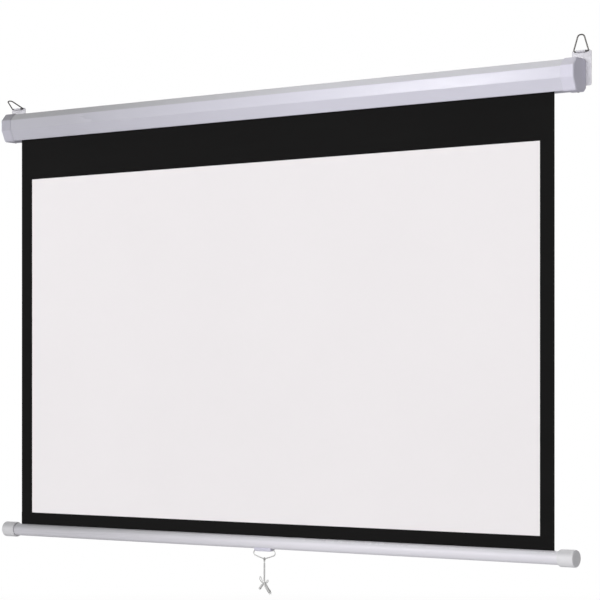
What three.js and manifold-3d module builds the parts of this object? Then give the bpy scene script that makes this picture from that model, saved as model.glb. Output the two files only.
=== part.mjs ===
// Pull-down projection screen: a wall case with a spring roller, a white screen with a black
// border, a weight bar, a wire pull handle and a short cord.
// Millimetres. +X runs along the case, the front faces -Y and +Z is up. The origin is the
// middle of the case's flat back, which lies on the wall. The screen is pulled right down.
import * as THREE from 'three';
import { mergeVertices } from 'three/addons/utils/BufferGeometryUtils.js';
import Module from 'manifold-3d';

const wasm = await Module();
wasm.setup();

// Clearances
const gap = 0.3;
const cutOverrun = 1;

// Screen
const viewWidth = 1594;
const viewHeight = 897;
const sideBorder = 38.5;
const bottomBorder = 31.5;
const topDrop = 108;
const sheetThickness = 0.4;
const borderThickness = 0.15;

// Case section
const caseHeight = 72;
const caseDepth = 56;
const caseWall = 1.2;
const frontFaceHeight = 27;
const topSlantRise = 17;
const topSlantRun = 15;
const lowerSlantRun = 13;
const rearChamfer = 8;
const slotLip = 1.4;
const slotWidth = 6;
const hemLipHeight = 4;

// End caps
const fabricToCapEnd = 59.5;
const capWall = 3;
const sleeveLength = 34;
const sleeveWall = 1.5;
const bossRadius = 9;
const bossLength = 12;
const capScrewInset = 12;
const capScrewSetback = 14;
const padHeight = 10;
const padDepth = 10;
const padLength = 24;

// Wall plates and hanging loops
const plateWidth = 50;
const plateThickness = 2;
const plateOutboard = 14;
const plateBottomDrop = 23;
const plateCornerRadius = 5;
const plateScrewUpperZ = 18;
const plateScrewLowerZ = -12;
const knuckleRise = 19;
const knuckleWidth = 24;
const knuckleWall = 1.2;
const knuckleMouth = 1.4;
const plateTopRise = 3;
const knuckleWeb = 0.2;
const loopWireRadius = 1.5;
const loopWidth = 40;
const loopTopWidth = 13;
const loopHeight = 38;
const loopBend = 5;
const loopEndGap = 4;
const leftLoopLean = THREE.MathUtils.degToRad(60);

// Roller
const rollerZ = 4;
const rollerOverhang = 14.5;
const tubeRadius = 15;
const tubeWall = 1.2;
const woundThickness = 0.7;
const plugLength = 18;
const flangeThickness = 3;
const gudgeonRadius = 3;
const bushWall = 2;
const bushFlange = 2;

// Spring motor
const shaftRadius = 4;
const shaftLength = 285;
const tangLength = 8;
const tangThickness = 4;
const anchorRadius = 10;
const anchorLength = 12;
const springWireRadius = 0.8;
const springRadius = 9;
const springTurns = 23;
const ratchetRadius = 7;
const ratchetWidth = 4;
const notchDepth = 1.6;
const notchWidth = 3;
const pawlPivotInset = 3.6;
const pawlHeel = 2.8;
const pawlReach = 6.5;
const pawlNoseHeight = 2.9;
const pinRadius = 1.2;
const pinHeadRadius = 2.2;
const pinHeadThickness = 1;

// Weight bar
const barRadius = 16;
const barWall = 1.2;
const barSlotWidth = 3;
const barCapRadius = 20;
const barCapLength = 42;
const barCapWall = 4;
const barCapFillet = 5;
const barEndInset = 2;
const rodRadius = 2.5;

// Pull handle
const clipLength = 52;
const clipDepth = 20;
const clipDrop = 6;
const clipWall = 1.5;
const clipScrewSpacing = 11;
const handleWireRadius = 1.5;
const handleWidth = 67;
const handleSideDrop = 6;
const handleShoulderDrop = 12;
const handleDrop = 22;
const handleBend = 3.5;
const handleEndX = 13;

// Cord
const cordRadius = 1.8;
const hitchRadius = 2.9;
const knotRadius = 3.2;
const tailRadius = 2.2;
const bowLoopStrandRadius = 1.3;
const bowLoopTipRadius = 1.45;

// Screws
const screwShankRadius = 1.4;
const screwHeadRadius = 2.8;
const screwHeadHeight = 1.6;
const screwLength = 7;
const plateScrewLength = 10;
const recessWidth = 0.7;
const recessShare = 0.6;
const recessDepthShare = 0.5;
const headEdgeShare = 0.55;
const headTopShare = 0.7;
const screwTipShare = 0.4;

// Facet counts
const roundSides = 40;
const smallSides = 20;
const screwSides = 16;
const wireSides = 8;
const cornerSteps = 4;
const loopSteps = 56;
const cordSteps = 8;
const springSides = 5;
const springStepsPerTurn = 8;

// Places worked out from the sizes
const fabricHalf = viewWidth / 2 + sideBorder;
const capOuterX = fabricHalf + fabricToCapEnd;
const capInnerX = capOuterX - capWall;
const caseTopZ = caseHeight / 2;
const caseBottomZ = -caseHeight / 2;
const slotFrontY = -(caseDepth - lowerSlantRun) + slotLip;
const sheetY = slotFrontY + slotWidth / 2;
const woundRadius = tubeRadius + woundThickness;
const rollerY = sheetY + sheetThickness / 2 + gap + woundRadius;
const tubeEndX = fabricHalf + rollerOverhang;
const barTopZ = caseBottomZ - topDrop - viewHeight - bottomBorder;
const barZ = barTopZ - barRadius;
const barEndX = capOuterX - barEndInset;
const sleeveOutset = gap + sleeveWall;
const knuckleRadius = loopWireRadius + gap + knuckleWall;
const knuckleZ = caseTopZ + knuckleRise;
const plateOuterX = capOuterX + plateOutboard;
const plateMidX = plateOuterX - plateWidth / 2;
const knuckleY = -plateThickness - knuckleWeb - gap - loopWireRadius;
const plateTopZ = knuckleZ + plateTopRise;
const plateBottomZ = -plateBottomDrop;
const clipScrewX = clipScrewSpacing / 2;
const pawlPivotRadius = tubeRadius - pawlPivotInset;
const pawlNoseDrop = pawlPivotRadius - pawlNoseHeight;

// Solids

// Turns a closed three.js geometry into a manifold solid.
function solidOf(geometry) {
  const bare = new THREE.BufferGeometry();
  bare.setAttribute('position', geometry.getAttribute('position'));
  bare.setIndex(geometry.getIndex());
  const merged = mergeVertices(bare);
  const corners = merged.getIndex().array;
  const triangles = [];
  for (let i = 0; i < corners.length; i += 3) {
    const [a, b, c] = [corners[i], corners[i + 1], corners[i + 2]];
    if (a !== b && b !== c && c !== a) triangles.push(a, b, c);
  }
  return new wasm.Manifold(new wasm.Mesh({
    numProp: 3,
    vertProperties: new Float32Array(merged.getAttribute('position').array),
    triVerts: new Uint32Array(triangles),
  }));
}

// Turns a manifold solid back into a three.js geometry.
function geometryOf(solid) {
  const mesh = solid.getMesh();
  const geometry = new THREE.BufferGeometry();
  geometry.setAttribute('position', new THREE.BufferAttribute(mesh.vertProperties, 3));
  geometry.setIndex(new THREE.BufferAttribute(mesh.triVerts, 1));
  return geometry;
}

// Mirrors a geometry left to right and keeps its faces pointing out.
function mirrored(geometry) {
  geometry.scale(-1, 1, 1);
  const corners = geometry.getIndex().array;
  for (let i = 0; i < corners.length; i += 3) {
    [corners[i], corners[i + 1]] = [corners[i + 1], corners[i]];
  }
  return geometry;
}

function box(x0, x1, y0, y1, z0, z1) {
  const geometry = new THREE.BoxGeometry(x1 - x0, y1 - y0, z1 - z0);
  geometry.translate((x0 + x1) / 2, (y0 + y1) / 2, (z0 + z1) / 2);
  return solidOf(geometry);
}

// A round rod about the X axis.
function rodX(radius, x0, x1, sides = roundSides) {
  const geometry = new THREE.CylinderGeometry(radius, radius, x1 - x0, sides);
  geometry.rotateZ(-Math.PI / 2);
  geometry.translate((x0 + x1) / 2, 0, 0);
  return solidOf(geometry);
}

// A tube about the X axis.
function tubeX(outer, inner, x0, x1, sides = roundSides) {
  const bore = rodX(inner, x0 - cutOverrun, x1 + cutOverrun, sides);
  return rodX(outer, x0, x1, sides).subtract(bore);
}

// A round rod about a vertical axis.
function rodZ(radius, x, y, z0, z1, sides = screwSides) {
  const geometry = new THREE.CylinderGeometry(radius, radius, z1 - z0, sides);
  geometry.rotateX(Math.PI / 2);
  geometry.translate(x, y, (z0 + z1) / 2);
  return solidOf(geometry);
}

// A solid turned about the Z axis from radius and height pairs.
function turnedZ(profile, sides) {
  const geometry = new THREE.LatheGeometry(profile.map(([r, z]) => new THREE.Vector2(r, z)), sides);
  geometry.rotateX(Math.PI / 2);
  return solidOf(geometry);
}

// A solid turned about the X axis from radius and X pairs.
function turnedX(profile, sides) {
  const geometry = new THREE.LatheGeometry(profile.map(([r, x]) => new THREE.Vector2(r, x)), sides);
  geometry.rotateZ(-Math.PI / 2);
  return solidOf(geometry);
}

function shapeOf(points) {
  return new THREE.Shape(points.map(([a, b]) => new THREE.Vector2(a, b)));
}

// Extrudes a YZ outline along X.
function prismX(points, x0, x1) {
  const geometry = new THREE.ExtrudeGeometry(shapeOf(points), { depth: x1 - x0, bevelEnabled: false });
  const turn = new THREE.Matrix4().makeBasis(
    new THREE.Vector3(0, 1, 0),
    new THREE.Vector3(0, 0, 1),
    new THREE.Vector3(1, 0, 0),
  );
  geometry.applyMatrix4(turn);
  geometry.translate(x0, 0, 0);
  return solidOf(geometry);
}

// Extrudes an XZ outline along Y, from y0 at the front to y1 at the back.
function prismY(points, y0, y1) {
  const geometry = new THREE.ExtrudeGeometry(shapeOf(points), { depth: y1 - y0, bevelEnabled: false });
  geometry.rotateX(Math.PI / 2);
  geometry.translate(0, y1, 0);
  return solidOf(geometry);
}

// A round section swept along an open path.
function wireAlong(path, radius, sides, steps) {
  const section = new THREE.Shape();
  for (let i = 0; i < sides; i += 1) {
    const angle = (2 * Math.PI * i) / sides;
    const corner = new THREE.Vector2(radius * Math.cos(angle), radius * Math.sin(angle));
    if (i === 0) section.moveTo(corner.x, corner.y);
    else section.lineTo(corner.x, corner.y);
  }
  return solidOf(new THREE.ExtrudeGeometry(section, { steps, extrudePath: path, bevelEnabled: false }));
}

// A path through XZ points with its corners rounded off.
function bentPath(points, bend) {
  const path = new THREE.CurvePath();
  const at = points.map(([x, z]) => new THREE.Vector3(x, 0, z));
  let start = at[0];
  for (let i = 1; i < at.length - 1; i += 1) {
    const before = at[i].clone().sub(at[i - 1]).normalize().multiplyScalar(bend);
    const after = at[i + 1].clone().sub(at[i]).normalize().multiplyScalar(bend);
    const entry = at[i].clone().sub(before);
    const exit = at[i].clone().add(after);
    path.add(new THREE.LineCurve3(start, entry));
    path.add(new THREE.QuadraticBezierCurve3(entry, at[i], exit));
    start = exit;
  }
  path.add(new THREE.LineCurve3(start, at[at.length - 1]));
  return path;
}

// Moves each edge of a closed outline outwards; a negative distance moves it inwards.
function outsetOutline(points, distance) {
  const count = points.length;
  const edges = points.map(([ax, ay], i) => {
    const [bx, by] = points[(i + 1) % count];
    const length = Math.hypot(bx - ax, by - ay);
    const nx = (by - ay) / length;
    const ny = -(bx - ax) / length;
    return { nx, ny, offset: nx * ax + ny * ay + distance };
  });
  return edges.map((edge, i) => {
    const last = edges[(i + count - 1) % count];
    const cross = last.nx * edge.ny - last.ny * edge.nx;
    const y = (last.offset * edge.ny - edge.offset * last.ny) / cross;
    const z = (edge.offset * last.nx - last.offset * edge.nx) / cross;
    return [y, z];
  });
}

// A rectangle in a plane with the same radius at each corner.
function roundedRectangle(x0, x1, z0, z1, radius) {
  const centres = [
    [x1 - radius, z0 + radius, -Math.PI / 2],
    [x1 - radius, z1 - radius, 0],
    [x0 + radius, z1 - radius, Math.PI / 2],
    [x0 + radius, z0 + radius, Math.PI],
  ];
  return centres.flatMap(([x, z, start]) => {
    const corner = [];
    for (let i = 0; i <= cornerSteps; i += 1) {
      const angle = start + (Math.PI / 2) * (i / cornerSteps);
      corner.push([x + radius * Math.cos(angle), z + radius * Math.sin(angle)]);
    }
    return corner;
  });
}

// Finishes

const white = { color: 0xe4e2ee, roughness: 0.35, metalness: 0 };
const capGrey = { color: 0xcfcdd8, roughness: 0.45, metalness: 0 };
const zinc = { color: 0xb4b4b8, roughness: 0.35, metalness: 0.8 };
const steel = { color: 0x8f8f94, roughness: 0.3, metalness: 0.9 };
const aluminium = { color: 0xb9bcc0, roughness: 0.4, metalness: 0.9 };
const nylon = { color: 0xd8d6cf, roughness: 0.6, metalness: 0 };
const brass = { color: 0xb08d3e, roughness: 0.4, metalness: 0.9 };
const screenWhite = { color: 0xedeaeb, roughness: 0.9, metalness: 0 };
const screenBlack = { color: 0x1d1d1d, roughness: 0.85, metalness: 0 };
const cordGrey = { color: 0xc4c4c6, roughness: 0.9, metalness: 0 };

function piece(name, finish, geometry, place = [0, 0, 0], turn = [0, 0, 0]) {
  const mesh = new THREE.Mesh(geometry, new THREE.MeshStandardMaterial(finish));
  mesh.name = name;
  mesh.position.set(...place);
  mesh.rotation.set(...turn);
  return mesh;
}

// Screws

// A cross recess cut into a head whose top is at the given height.
function crossRecess(headRadius, topZ, depth) {
  const reach = headRadius * recessShare;
  const half = recessWidth / 2;
  const across = box(-reach, reach, -half, half, topZ - depth, topZ + cutOverrun);
  return across.add(box(-half, half, -reach, reach, topZ - depth, topZ + cutOverrun));
}

// A pan-head screw with its seat at z = 0 and its shank pointing down.
function panScrew() {
  const tip = screwShankRadius * screwTipShare;
  const body = turnedZ([
    [0, -screwLength],
    [tip, -screwLength],
    [screwShankRadius, -screwLength + screwShankRadius],
    [screwShankRadius, 0],
    [screwHeadRadius, 0],
    [screwHeadRadius, screwHeadHeight * headEdgeShare],
    [screwHeadRadius * headTopShare, screwHeadHeight],
    [0, screwHeadHeight],
  ], screwSides);
  const recess = crossRecess(screwHeadRadius, screwHeadHeight, screwHeadHeight * recessDepthShare);
  return geometryOf(body.subtract(recess));
}

// The outline of a countersunk screw whose flat head ends at z = 0.
function sunkProfile(extra) {
  const tip = screwShankRadius * screwTipShare + extra;
  return [
    [0, -plateScrewLength - extra],
    [tip, -plateScrewLength - extra],
    [screwShankRadius + extra, -plateScrewLength + screwShankRadius],
    [screwShankRadius + extra, -screwHeadHeight],
    [screwHeadRadius + extra, 0],
    [0, 0],
  ];
}

function sunkScrew() {
  const body = turnedZ(sunkProfile(0), screwSides);
  return geometryOf(body.subtract(crossRecess(screwHeadRadius, 0, screwHeadHeight * recessDepthShare)));
}

// Room for a countersunk screw driven into the wall plate from the back at X = 0.
function sunkHole(z) {
  const profile = sunkProfile(gap);
  const open = [...profile.slice(0, -1), [screwHeadRadius + gap, cutOverrun], [0, cutOverrun]];
  const geometry = new THREE.LatheGeometry(open.map(([r, h]) => new THREE.Vector2(r, h)), screwSides);
  geometry.translate(0, 0, z);
  return solidOf(geometry);
}

// Case shell

function caseOutline() {
  return [
    [0, caseTopZ - rearChamfer],
    [-rearChamfer, caseTopZ],
    [-caseDepth + topSlantRun, caseTopZ],
    [-caseDepth, caseTopZ - topSlantRise],
    [-caseDepth, caseTopZ - topSlantRise - frontFaceHeight],
    [-caseDepth + lowerSlantRun, caseBottomZ],
    [-rearChamfer, caseBottomZ],
    [0, caseBottomZ + rearChamfer],
  ];
}

// Room for one wall plate in the shell and the cap, in the part's own X.
function plateRoom() {
  const inner = plateMidX - plateWidth / 2 - gap;
  const back = cutOverrun;
  return box(inner, plateOuterX + cutOverrun, -plateThickness - gap, back, plateBottomZ - gap, knuckleZ);
}

function caseShell() {
  const half = capInnerX - gap;
  const outer = caseOutline();
  const inner = outsetOutline(outer, -caseWall);
  let shell = prismX(outer, -half, half).subtract(prismX(inner, -half - cutOverrun, half + cutOverrun));
  const slotBackY = slotFrontY + slotWidth;
  const lipTopZ = caseBottomZ + caseWall + hemLipHeight;
  shell = shell.add(box(-half, half, slotBackY, slotBackY + caseWall, caseBottomZ, lipTopZ));
  const slot = box(-half, half, slotFrontY, slotBackY, caseBottomZ - cutOverrun, lipTopZ);
  shell = shell.subtract(slot);
  const room = geometryOf(plateRoom());
  shell = shell.subtract(solidOf(room));
  shell = shell.subtract(solidOf(mirrored(room)));
  for (const side of [-1, 1]) {
    shell = shell.subtract(capScrewHoles(side * (capOuterX - capScrewInset)));
  }
  return piece('case_shell', white, geometryOf(shell));
}

// Holes for the two screws that hold a cap, at one X.
function capScrewHoles(x) {
  const radius = screwShankRadius + gap;
  const depth = sleeveOutset + caseWall + cutOverrun;
  const top = rodZ(radius, x, -capScrewSetback, caseTopZ - depth, caseTopZ + depth);
  return top.add(rodZ(radius, x, -capScrewSetback, caseBottomZ - depth, caseBottomZ + depth));
}

// End caps

// The sleeve and end wall of the right cap, open at the back where it lies on the wall.
function capBody() {
  const outer = outsetOutline(caseOutline(), sleeveOutset);
  const inner = outsetOutline(caseOutline(), gap);
  const start = capOuterX - sleeveLength;
  const hollow = prismX(inner, start - cutOverrun, capInnerX);
  const wallSide = box(start - cutOverrun, capOuterX + cutOverrun, 0, caseDepth, -caseHeight, caseHeight);
  return prismX(outer, start, capOuterX).subtract(hollow).subtract(wallSide);
}

// The two pads inside the right cap that the wall plate is screwed to.
function platePads() {
  const backY = -plateThickness - gap;
  const frontY = backY - padDepth;
  const start = capOuterX - padLength;
  const end = capOuterX - gap;
  const half = padHeight / 2;
  const upper = box(start, end, frontY, backY, plateScrewUpperZ - half, plateScrewUpperZ + half);
  return upper.add(box(start, end, frontY, backY, plateScrewLowerZ - half, plateScrewLowerZ + half));
}

// The room that both wall plate screws need, on the right.
function plateScrewRoom() {
  const upper = sunkHole(plateScrewUpperZ);
  const lower = sunkHole(plateScrewLowerZ);
  return upper.add(lower).translate([plateMidX - padScrewShift(), 0, 0]);
}

// How far the plate screws stand inboard of the plate's middle, over the pads' middle.
function padScrewShift() {
  return plateMidX - (capOuterX - padLength / 2);
}

// The right cap without what its roller end needs.
function plainCap() {
  return capBody().add(platePads()).subtract(plateRoom()).subtract(plateScrewRoom())
    .subtract(capScrewHoles(capOuterX - capScrewInset));
}

// A solid moved to the roller's axis.
function onRollerAxis(solid) {
  return solid.translate([0, rollerY, rollerZ]);
}

function rightEndCap() {
  const boss = rodX(bossRadius, capInnerX - bossLength, capInnerX + cutOverrun);
  const halfWidth = shaftRadius + gap;
  const halfThickness = tangThickness / 2 + gap;
  const start = capInnerX - tangLength + gap;
  const tangRoom = box(start, capInnerX, -halfThickness, halfThickness, -halfWidth, halfWidth);
  const shaftRoom = rodX(shaftRadius + gap, capInnerX - bossLength - cutOverrun, start);
  const cap = plainCap().add(onRollerAxis(boss)).subtract(onRollerAxis(tangRoom))
    .subtract(onRollerAxis(shaftRoom));
  return piece('right_end_cap', capGrey, geometryOf(cap));
}

function leftEndCap() {
  const boss = rodX(bossRadius, capInnerX - bossLength, capInnerX + cutOverrun);
  const bore = rodX(gudgeonRadius + gap + bushWall + gap, capInnerX - bossLength - cutOverrun, capInnerX);
  const cap = plainCap().add(onRollerAxis(boss)).subtract(onRollerAxis(bore));
  return piece('left_end_cap', capGrey, mirrored(geometryOf(cap)));
}

function capScrews() {
  const screws = [];
  for (const [side, hand] of [[-1, 'left'], [1, 'right']]) {
    const x = side * (capOuterX - capScrewInset);
    const seat = caseTopZ + sleeveOutset + gap;
    screws.push(piece(`${hand}_cap_screw_top`, zinc, panScrew(), [x, -capScrewSetback, seat]));
    const bottom = [x, -capScrewSetback, caseBottomZ - sleeveOutset - gap];
    screws.push(piece(`${hand}_cap_screw_bottom`, zinc, panScrew(), bottom, [Math.PI, 0, 0]));
  }
  return screws;
}

// Wall plates

// The right wall plate, with a knuckle in front of its top edge for the hanging loop.
function wallPlate() {
  const left = plateMidX - plateWidth / 2;
  const outline = roundedRectangle(left, plateOuterX, plateBottomZ, plateTopZ, plateCornerRadius);
  const tabLeft = plateMidX - knuckleWidth / 2;
  const tabRight = plateMidX + knuckleWidth / 2;
  const roll = rodX(knuckleRadius, tabLeft, tabRight, smallSides).translate([0, knuckleY, knuckleZ]);
  const bore = rodX(loopWireRadius + gap, tabLeft - cutOverrun, tabRight + cutOverrun, smallSides)
    .translate([0, knuckleY, knuckleZ]);
  const mouthTopZ = knuckleZ - knuckleRadius / 2;
  const mouthBottomZ = knuckleZ - knuckleRadius - cutOverrun;
  const mouthY = knuckleY - knuckleMouth / 2;
  const mouth = box(tabLeft - cutOverrun, tabRight + cutOverrun, mouthY, mouthY + knuckleMouth,
    mouthBottomZ, mouthTopZ);
  return prismY(outline, -plateThickness, 0).add(roll).subtract(bore).subtract(mouth)
    .subtract(plateScrewRoom());
}

function wallPlates() {
  return [
    piece('left_wall_plate', zinc, mirrored(geometryOf(wallPlate()))),
    piece('right_wall_plate', zinc, geometryOf(wallPlate())),
  ];
}

function plateScrews() {
  const screws = [];
  for (const [side, hand] of [[-1, 'left'], [1, 'right']]) {
    const x = side * (plateMidX - padScrewShift());
    for (const [height, z] of [['upper', plateScrewUpperZ], ['lower', plateScrewLowerZ]]) {
      const name = `${hand}_plate_screw_${height}`;
      screws.push(piece(name, zinc, sunkScrew(), [x, 0, z], [-Math.PI / 2, 0, 0]));
    }
  }
  return screws;
}

// Hanging loops

// A wire loop that stands up from its pivot, with both ends turned in along the pivot.
function loopWire() {
  const half = loopWidth / 2;
  const top = loopTopWidth / 2;
  const path = bentPath([
    [-loopEndGap / 2, 0],
    [-half, 0],
    [-top, loopHeight],
    [top, loopHeight],
    [half, 0],
    [loopEndGap / 2, 0],
  ], loopBend);
  return geometryOf(wireAlong(path, loopWireRadius, wireSides, loopSteps));
}

function hangingLoops() {
  const pivot = [plateMidX, knuckleY, knuckleZ];
  return [
    piece('left_hanger_bail', zinc, loopWire(), [-pivot[0], pivot[1], pivot[2]], [leftLoopLean, 0, 0]),
    piece('right_hanger_bail', zinc, loopWire(), pivot),
  ];
}

// Screen

// The front face of the white sheet lies against the back of the black border.
function screenPieces() {
  const frontY = sheetY - sheetThickness / 2;
  const bottomZ = barTopZ - barWall;
  const sheet = box(-fabricHalf, fabricHalf, frontY, frontY + sheetThickness, bottomZ, rollerZ);
  const border = box(-fabricHalf, fabricHalf, frontY - borderThickness, frontY, bottomZ, rollerZ);
  const viewBottomZ = barTopZ + bottomBorder;
  const half = viewWidth / 2;
  const hole = box(-half, half, frontY - borderThickness - cutOverrun, frontY + cutOverrun,
    viewBottomZ, viewBottomZ + viewHeight);
  return [
    piece('screen_sheet', screenWhite, geometryOf(sheet)),
    piece('masking_border', screenBlack, geometryOf(border.subtract(hole))),
  ];
}

// Roller, all built about its own axis

function rollerTube() {
  const tube = tubeX(tubeRadius, tubeRadius - tubeWall, -tubeEndX, tubeEndX);
  return piece('roller_tube', aluminium, geometryOf(tube));
}

function woundFabric() {
  const inner = tubeRadius + gap;
  return piece('wound_fabric', screenWhite, geometryOf(tubeX(woundRadius, inner, -fabricHalf, fabricHalf)));
}

// A plug that fills the tube from one X to another.
function tubePlug(x0, x1, boreRadius) {
  const outer = tubeRadius - tubeWall - gap;
  return tubeX(outer, boreRadius, x0, x1);
}

function leftRollerPlug() {
  const end = -tubeEndX;
  const flange = tubeX(tubeRadius, gudgeonRadius + gap, end - gap - flangeThickness, end - gap);
  const body = tubePlug(end - gap, end + plugLength, gudgeonRadius + gap);
  return piece('left_roller_plug', nylon, geometryOf(flange.add(body)));
}

function leftGudgeon() {
  const pin = rodX(gudgeonRadius, -capInnerX + gap, -tubeEndX + plugLength);
  return piece('left_gudgeon', steel, geometryOf(pin));
}

// The bush sits in the left cap and its flange faces the roller.
function leftBearingBush() {
  const bore = gudgeonRadius + gap;
  const bossFace = -capInnerX + bossLength;
  const sleeve = tubeX(bore + bushWall, bore, -capInnerX + gap, bossFace + gap);
  const flange = tubeX(bore + bushWall + bushFlange, bore, bossFace + gap, bossFace + gap + bushFlange);
  return piece('left_bearing_bush', brass, geometryOf(sleeve.add(flange)));
}

// Places about the pawls, on the roller's axis
const carrierFaceX = tubeEndX + gap + flangeThickness;
const ratchetX = carrierFaceX + gap;

function pawlCarrier() {
  const flange = tubeX(tubeRadius, shaftRadius + gap, tubeEndX + gap, carrierFaceX);
  const body = tubePlug(tubeEndX - plugLength, tubeEndX + gap, shaftRadius + gap);
  let carrier = flange.add(body);
  for (const side of [-1, 1]) {
    const hole = rodX(pinRadius + gap, tubeEndX - gap, carrierFaceX + cutOverrun, smallSides);
    carrier = carrier.subtract(hole.translate([0, 0, side * pawlPivotRadius]));
  }
  return piece('pawl_carrier', nylon, geometryOf(carrier));
}

// Each notch lies under the nose of a pawl.
const notchTurn = Math.atan2(pawlNoseHeight, pawlReach - pawlHeel / 2);

function ratchetWheel() {
  const wheel = tubeX(ratchetRadius, shaftRadius + gap, ratchetX, ratchetX + ratchetWidth);
  const floor = ratchetRadius - notchDepth;
  const half = notchWidth / 2;
  const end = ratchetX + ratchetWidth + cutOverrun;
  let cut = wheel;
  for (const side of [-1, 1]) {
    const near = side * floor;
    const far = side * (ratchetRadius + cutOverrun);
    const [low, high] = [Math.min(near, far), Math.max(near, far)];
    cut = cut.subtract(box(ratchetX - cutOverrun, end, low, high, -half, half));
  }
  return piece('ratchet_wheel', steel, geometryOf(cut), [0, 0, 0], [notchTurn, 0, 0]);
}

// The upper pawl, with its pivot at the origin and its nose over the ratchet's rim.
function pawlSolid() {
  const outline = [
    [-pawlHeel, 0],
    [-pawlHeel / 2, -pawlHeel],
    [pawlReach - pawlHeel, -pawlNoseDrop],
    [pawlReach, -pawlNoseDrop + pawlHeel / 2],
    [pawlHeel, pawlHeel / 2],
    [pawlHeel / 2, pawlHeel],
    [-pawlHeel / 2, pawlHeel],
  ];
  const x0 = ratchetX;
  const x1 = ratchetX + ratchetWidth;
  const rim = rodX(ratchetRadius + gap, x0 - cutOverrun, x1 + cutOverrun);
  const pivotHole = rodX(pinRadius + gap, x0 - cutOverrun, x1 + cutOverrun, smallSides);
  return prismX(outline, x0, x1).subtract(rim.translate([0, 0, -pawlPivotRadius])).subtract(pivotHole);
}

function pawls() {
  const geometry = geometryOf(pawlSolid());
  return [
    piece('upper_pawl', steel, geometry, [0, 0, pawlPivotRadius]),
    piece('lower_pawl', steel, geometry, [0, 0, -pawlPivotRadius], [Math.PI, 0, 0]),
  ];
}

// A headed pin that carries one pawl.
function pawlPins() {
  const start = tubeEndX + gap;
  const headStart = ratchetX + ratchetWidth + gap;
  const shank = rodX(pinRadius, start, headStart, smallSides);
  const head = rodX(pinHeadRadius, headStart, headStart + pinHeadThickness, smallSides);
  const geometry = geometryOf(shank.add(head));
  return [
    piece('upper_pawl_pin', steel, geometry, [0, 0, pawlPivotRadius]),
    piece('lower_pawl_pin', steel, geometry, [0, 0, -pawlPivotRadius]),
  ];
}

// Spring motor inside the right end of the roller
const shaftEndX = capInnerX - gap;
const shaftStartX = shaftEndX - shaftLength;
const anchorEndX = tubeEndX - plugLength - gap;
const anchorStartX = anchorEndX - anchorLength;
const drivePlugEndX = shaftStartX + plugLength / 2;
const springStartX = drivePlugEndX + gap + springWireRadius;
const springEndX = anchorStartX - gap - springWireRadius;

// The shaft stands still: its flat tang sits in the right cap.
function springShaft() {
  const tangStart = capInnerX - tangLength;
  const half = tangThickness / 2;
  const round = rodX(shaftRadius, shaftStartX, tangStart);
  const blank = rodX(shaftRadius, tangStart - gap, shaftEndX);
  const flat = box(tangStart - gap, shaftEndX + cutOverrun, -half, half, -shaftRadius, shaftRadius);
  return piece('spring_shaft', steel, geometryOf(round.add(blank.intersect(flat))));
}

function springAnchor() {
  const collar = tubeX(anchorRadius, shaftRadius + gap, anchorStartX, anchorEndX);
  return piece('spring_anchor', steel, geometryOf(collar));
}

function springDrivePlug() {
  const start = shaftStartX - plugLength / 2;
  const blind = rodX(tubeRadius - tubeWall - gap, start, drivePlugEndX);
  const bore = rodX(shaftRadius + gap, shaftStartX - gap, drivePlugEndX + cutOverrun);
  return piece('spring_drive_plug', nylon, geometryOf(blind.subtract(bore)));
}

class Helix extends THREE.Curve {
  getPoint(t, target = new THREE.Vector3()) {
    const angle = 2 * Math.PI * springTurns * t;
    const x = springStartX + (springEndX - springStartX) * t;
    return target.set(x, springRadius * Math.cos(angle), springRadius * Math.sin(angle));
  }
}

// The least distance between neighbouring turns, measured on points of the helix.
function leastTurnGap(path) {
  const count = springTurns * springStepsPerTurn;
  const points = path.getSpacedPoints(count);
  let least = Infinity;
  for (let i = 0; i < count; i += 1) {
    for (let j = i + springStepsPerTurn / 2; j <= count; j += 1) {
      least = Math.min(least, points[i].distanceTo(points[j]));
    }
  }
  return least - 2 * springWireRadius;
}

function torsionSpring() {
  const path = new Helix();
  const steps = springTurns * springStepsPerTurn;
  path.arcLengthDivisions = 2 * steps;
  console.log(`torsion_spring: least gap between turns ${leastTurnGap(path).toFixed(2)} mm`);
  return piece('torsion_spring', steel, geometryOf(wireAlong(path, springWireRadius, springSides, steps)));
}

// Weight bar, built about its own axis

// Where a screw of the handle clip goes through the bar, at one X.
function clipScrewRoom(x) {
  return rodZ(screwShankRadius + gap, x, 0, -barRadius - cutOverrun, 0);
}

const barTubeEndX = barEndX - barCapWall - gap;

function weightBarTube() {
  const half = barSlotWidth / 2;
  const reach = barTubeEndX + cutOverrun;
  const slot = box(-reach, reach, -half, half, 0, barRadius + cutOverrun);
  const tube = tubeX(barRadius, barRadius - barWall, -barTubeEndX, barTubeEndX).subtract(slot)
    .subtract(clipScrewRoom(-clipScrewX)).subtract(clipScrewRoom(clipScrewX));
  return piece('weight_bar_tube', white, geometryOf(tube));
}

// The rod in the screen's hem, held under the slot of the bar.
function hemRod() {
  const z = barRadius - barWall - gap - rodRadius;
  const rod = rodX(rodRadius, -fabricHalf, fabricHalf, smallSides);
  return piece('hem_rod', steel, geometryOf(rod), [0, 0, z]);
}

function barCap() {
  const start = barEndX - barCapLength;
  const profile = [[0, barEndX]];
  for (let i = 0; i <= cornerSteps; i += 1) {
    const angle = Math.PI / 2 * (1 - i / cornerSteps);
    profile.push([
      barCapRadius - barCapFillet + barCapFillet * Math.cos(angle),
      barEndX - barCapFillet + barCapFillet * Math.sin(angle),
    ]);
  }
  profile.push([barCapRadius, start]);
  profile.push([barRadius + gap, start]);
  profile.push([barRadius + gap, barEndX - barCapWall]);
  profile.push([0, barEndX - barCapWall]);
  return geometryOf(turnedX(profile.reverse(), roundSides));
}

function barCaps() {
  return [
    piece('left_bar_cap', capGrey, mirrored(barCap())),
    piece('right_bar_cap', capGrey, barCap()),
  ];
}

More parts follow.
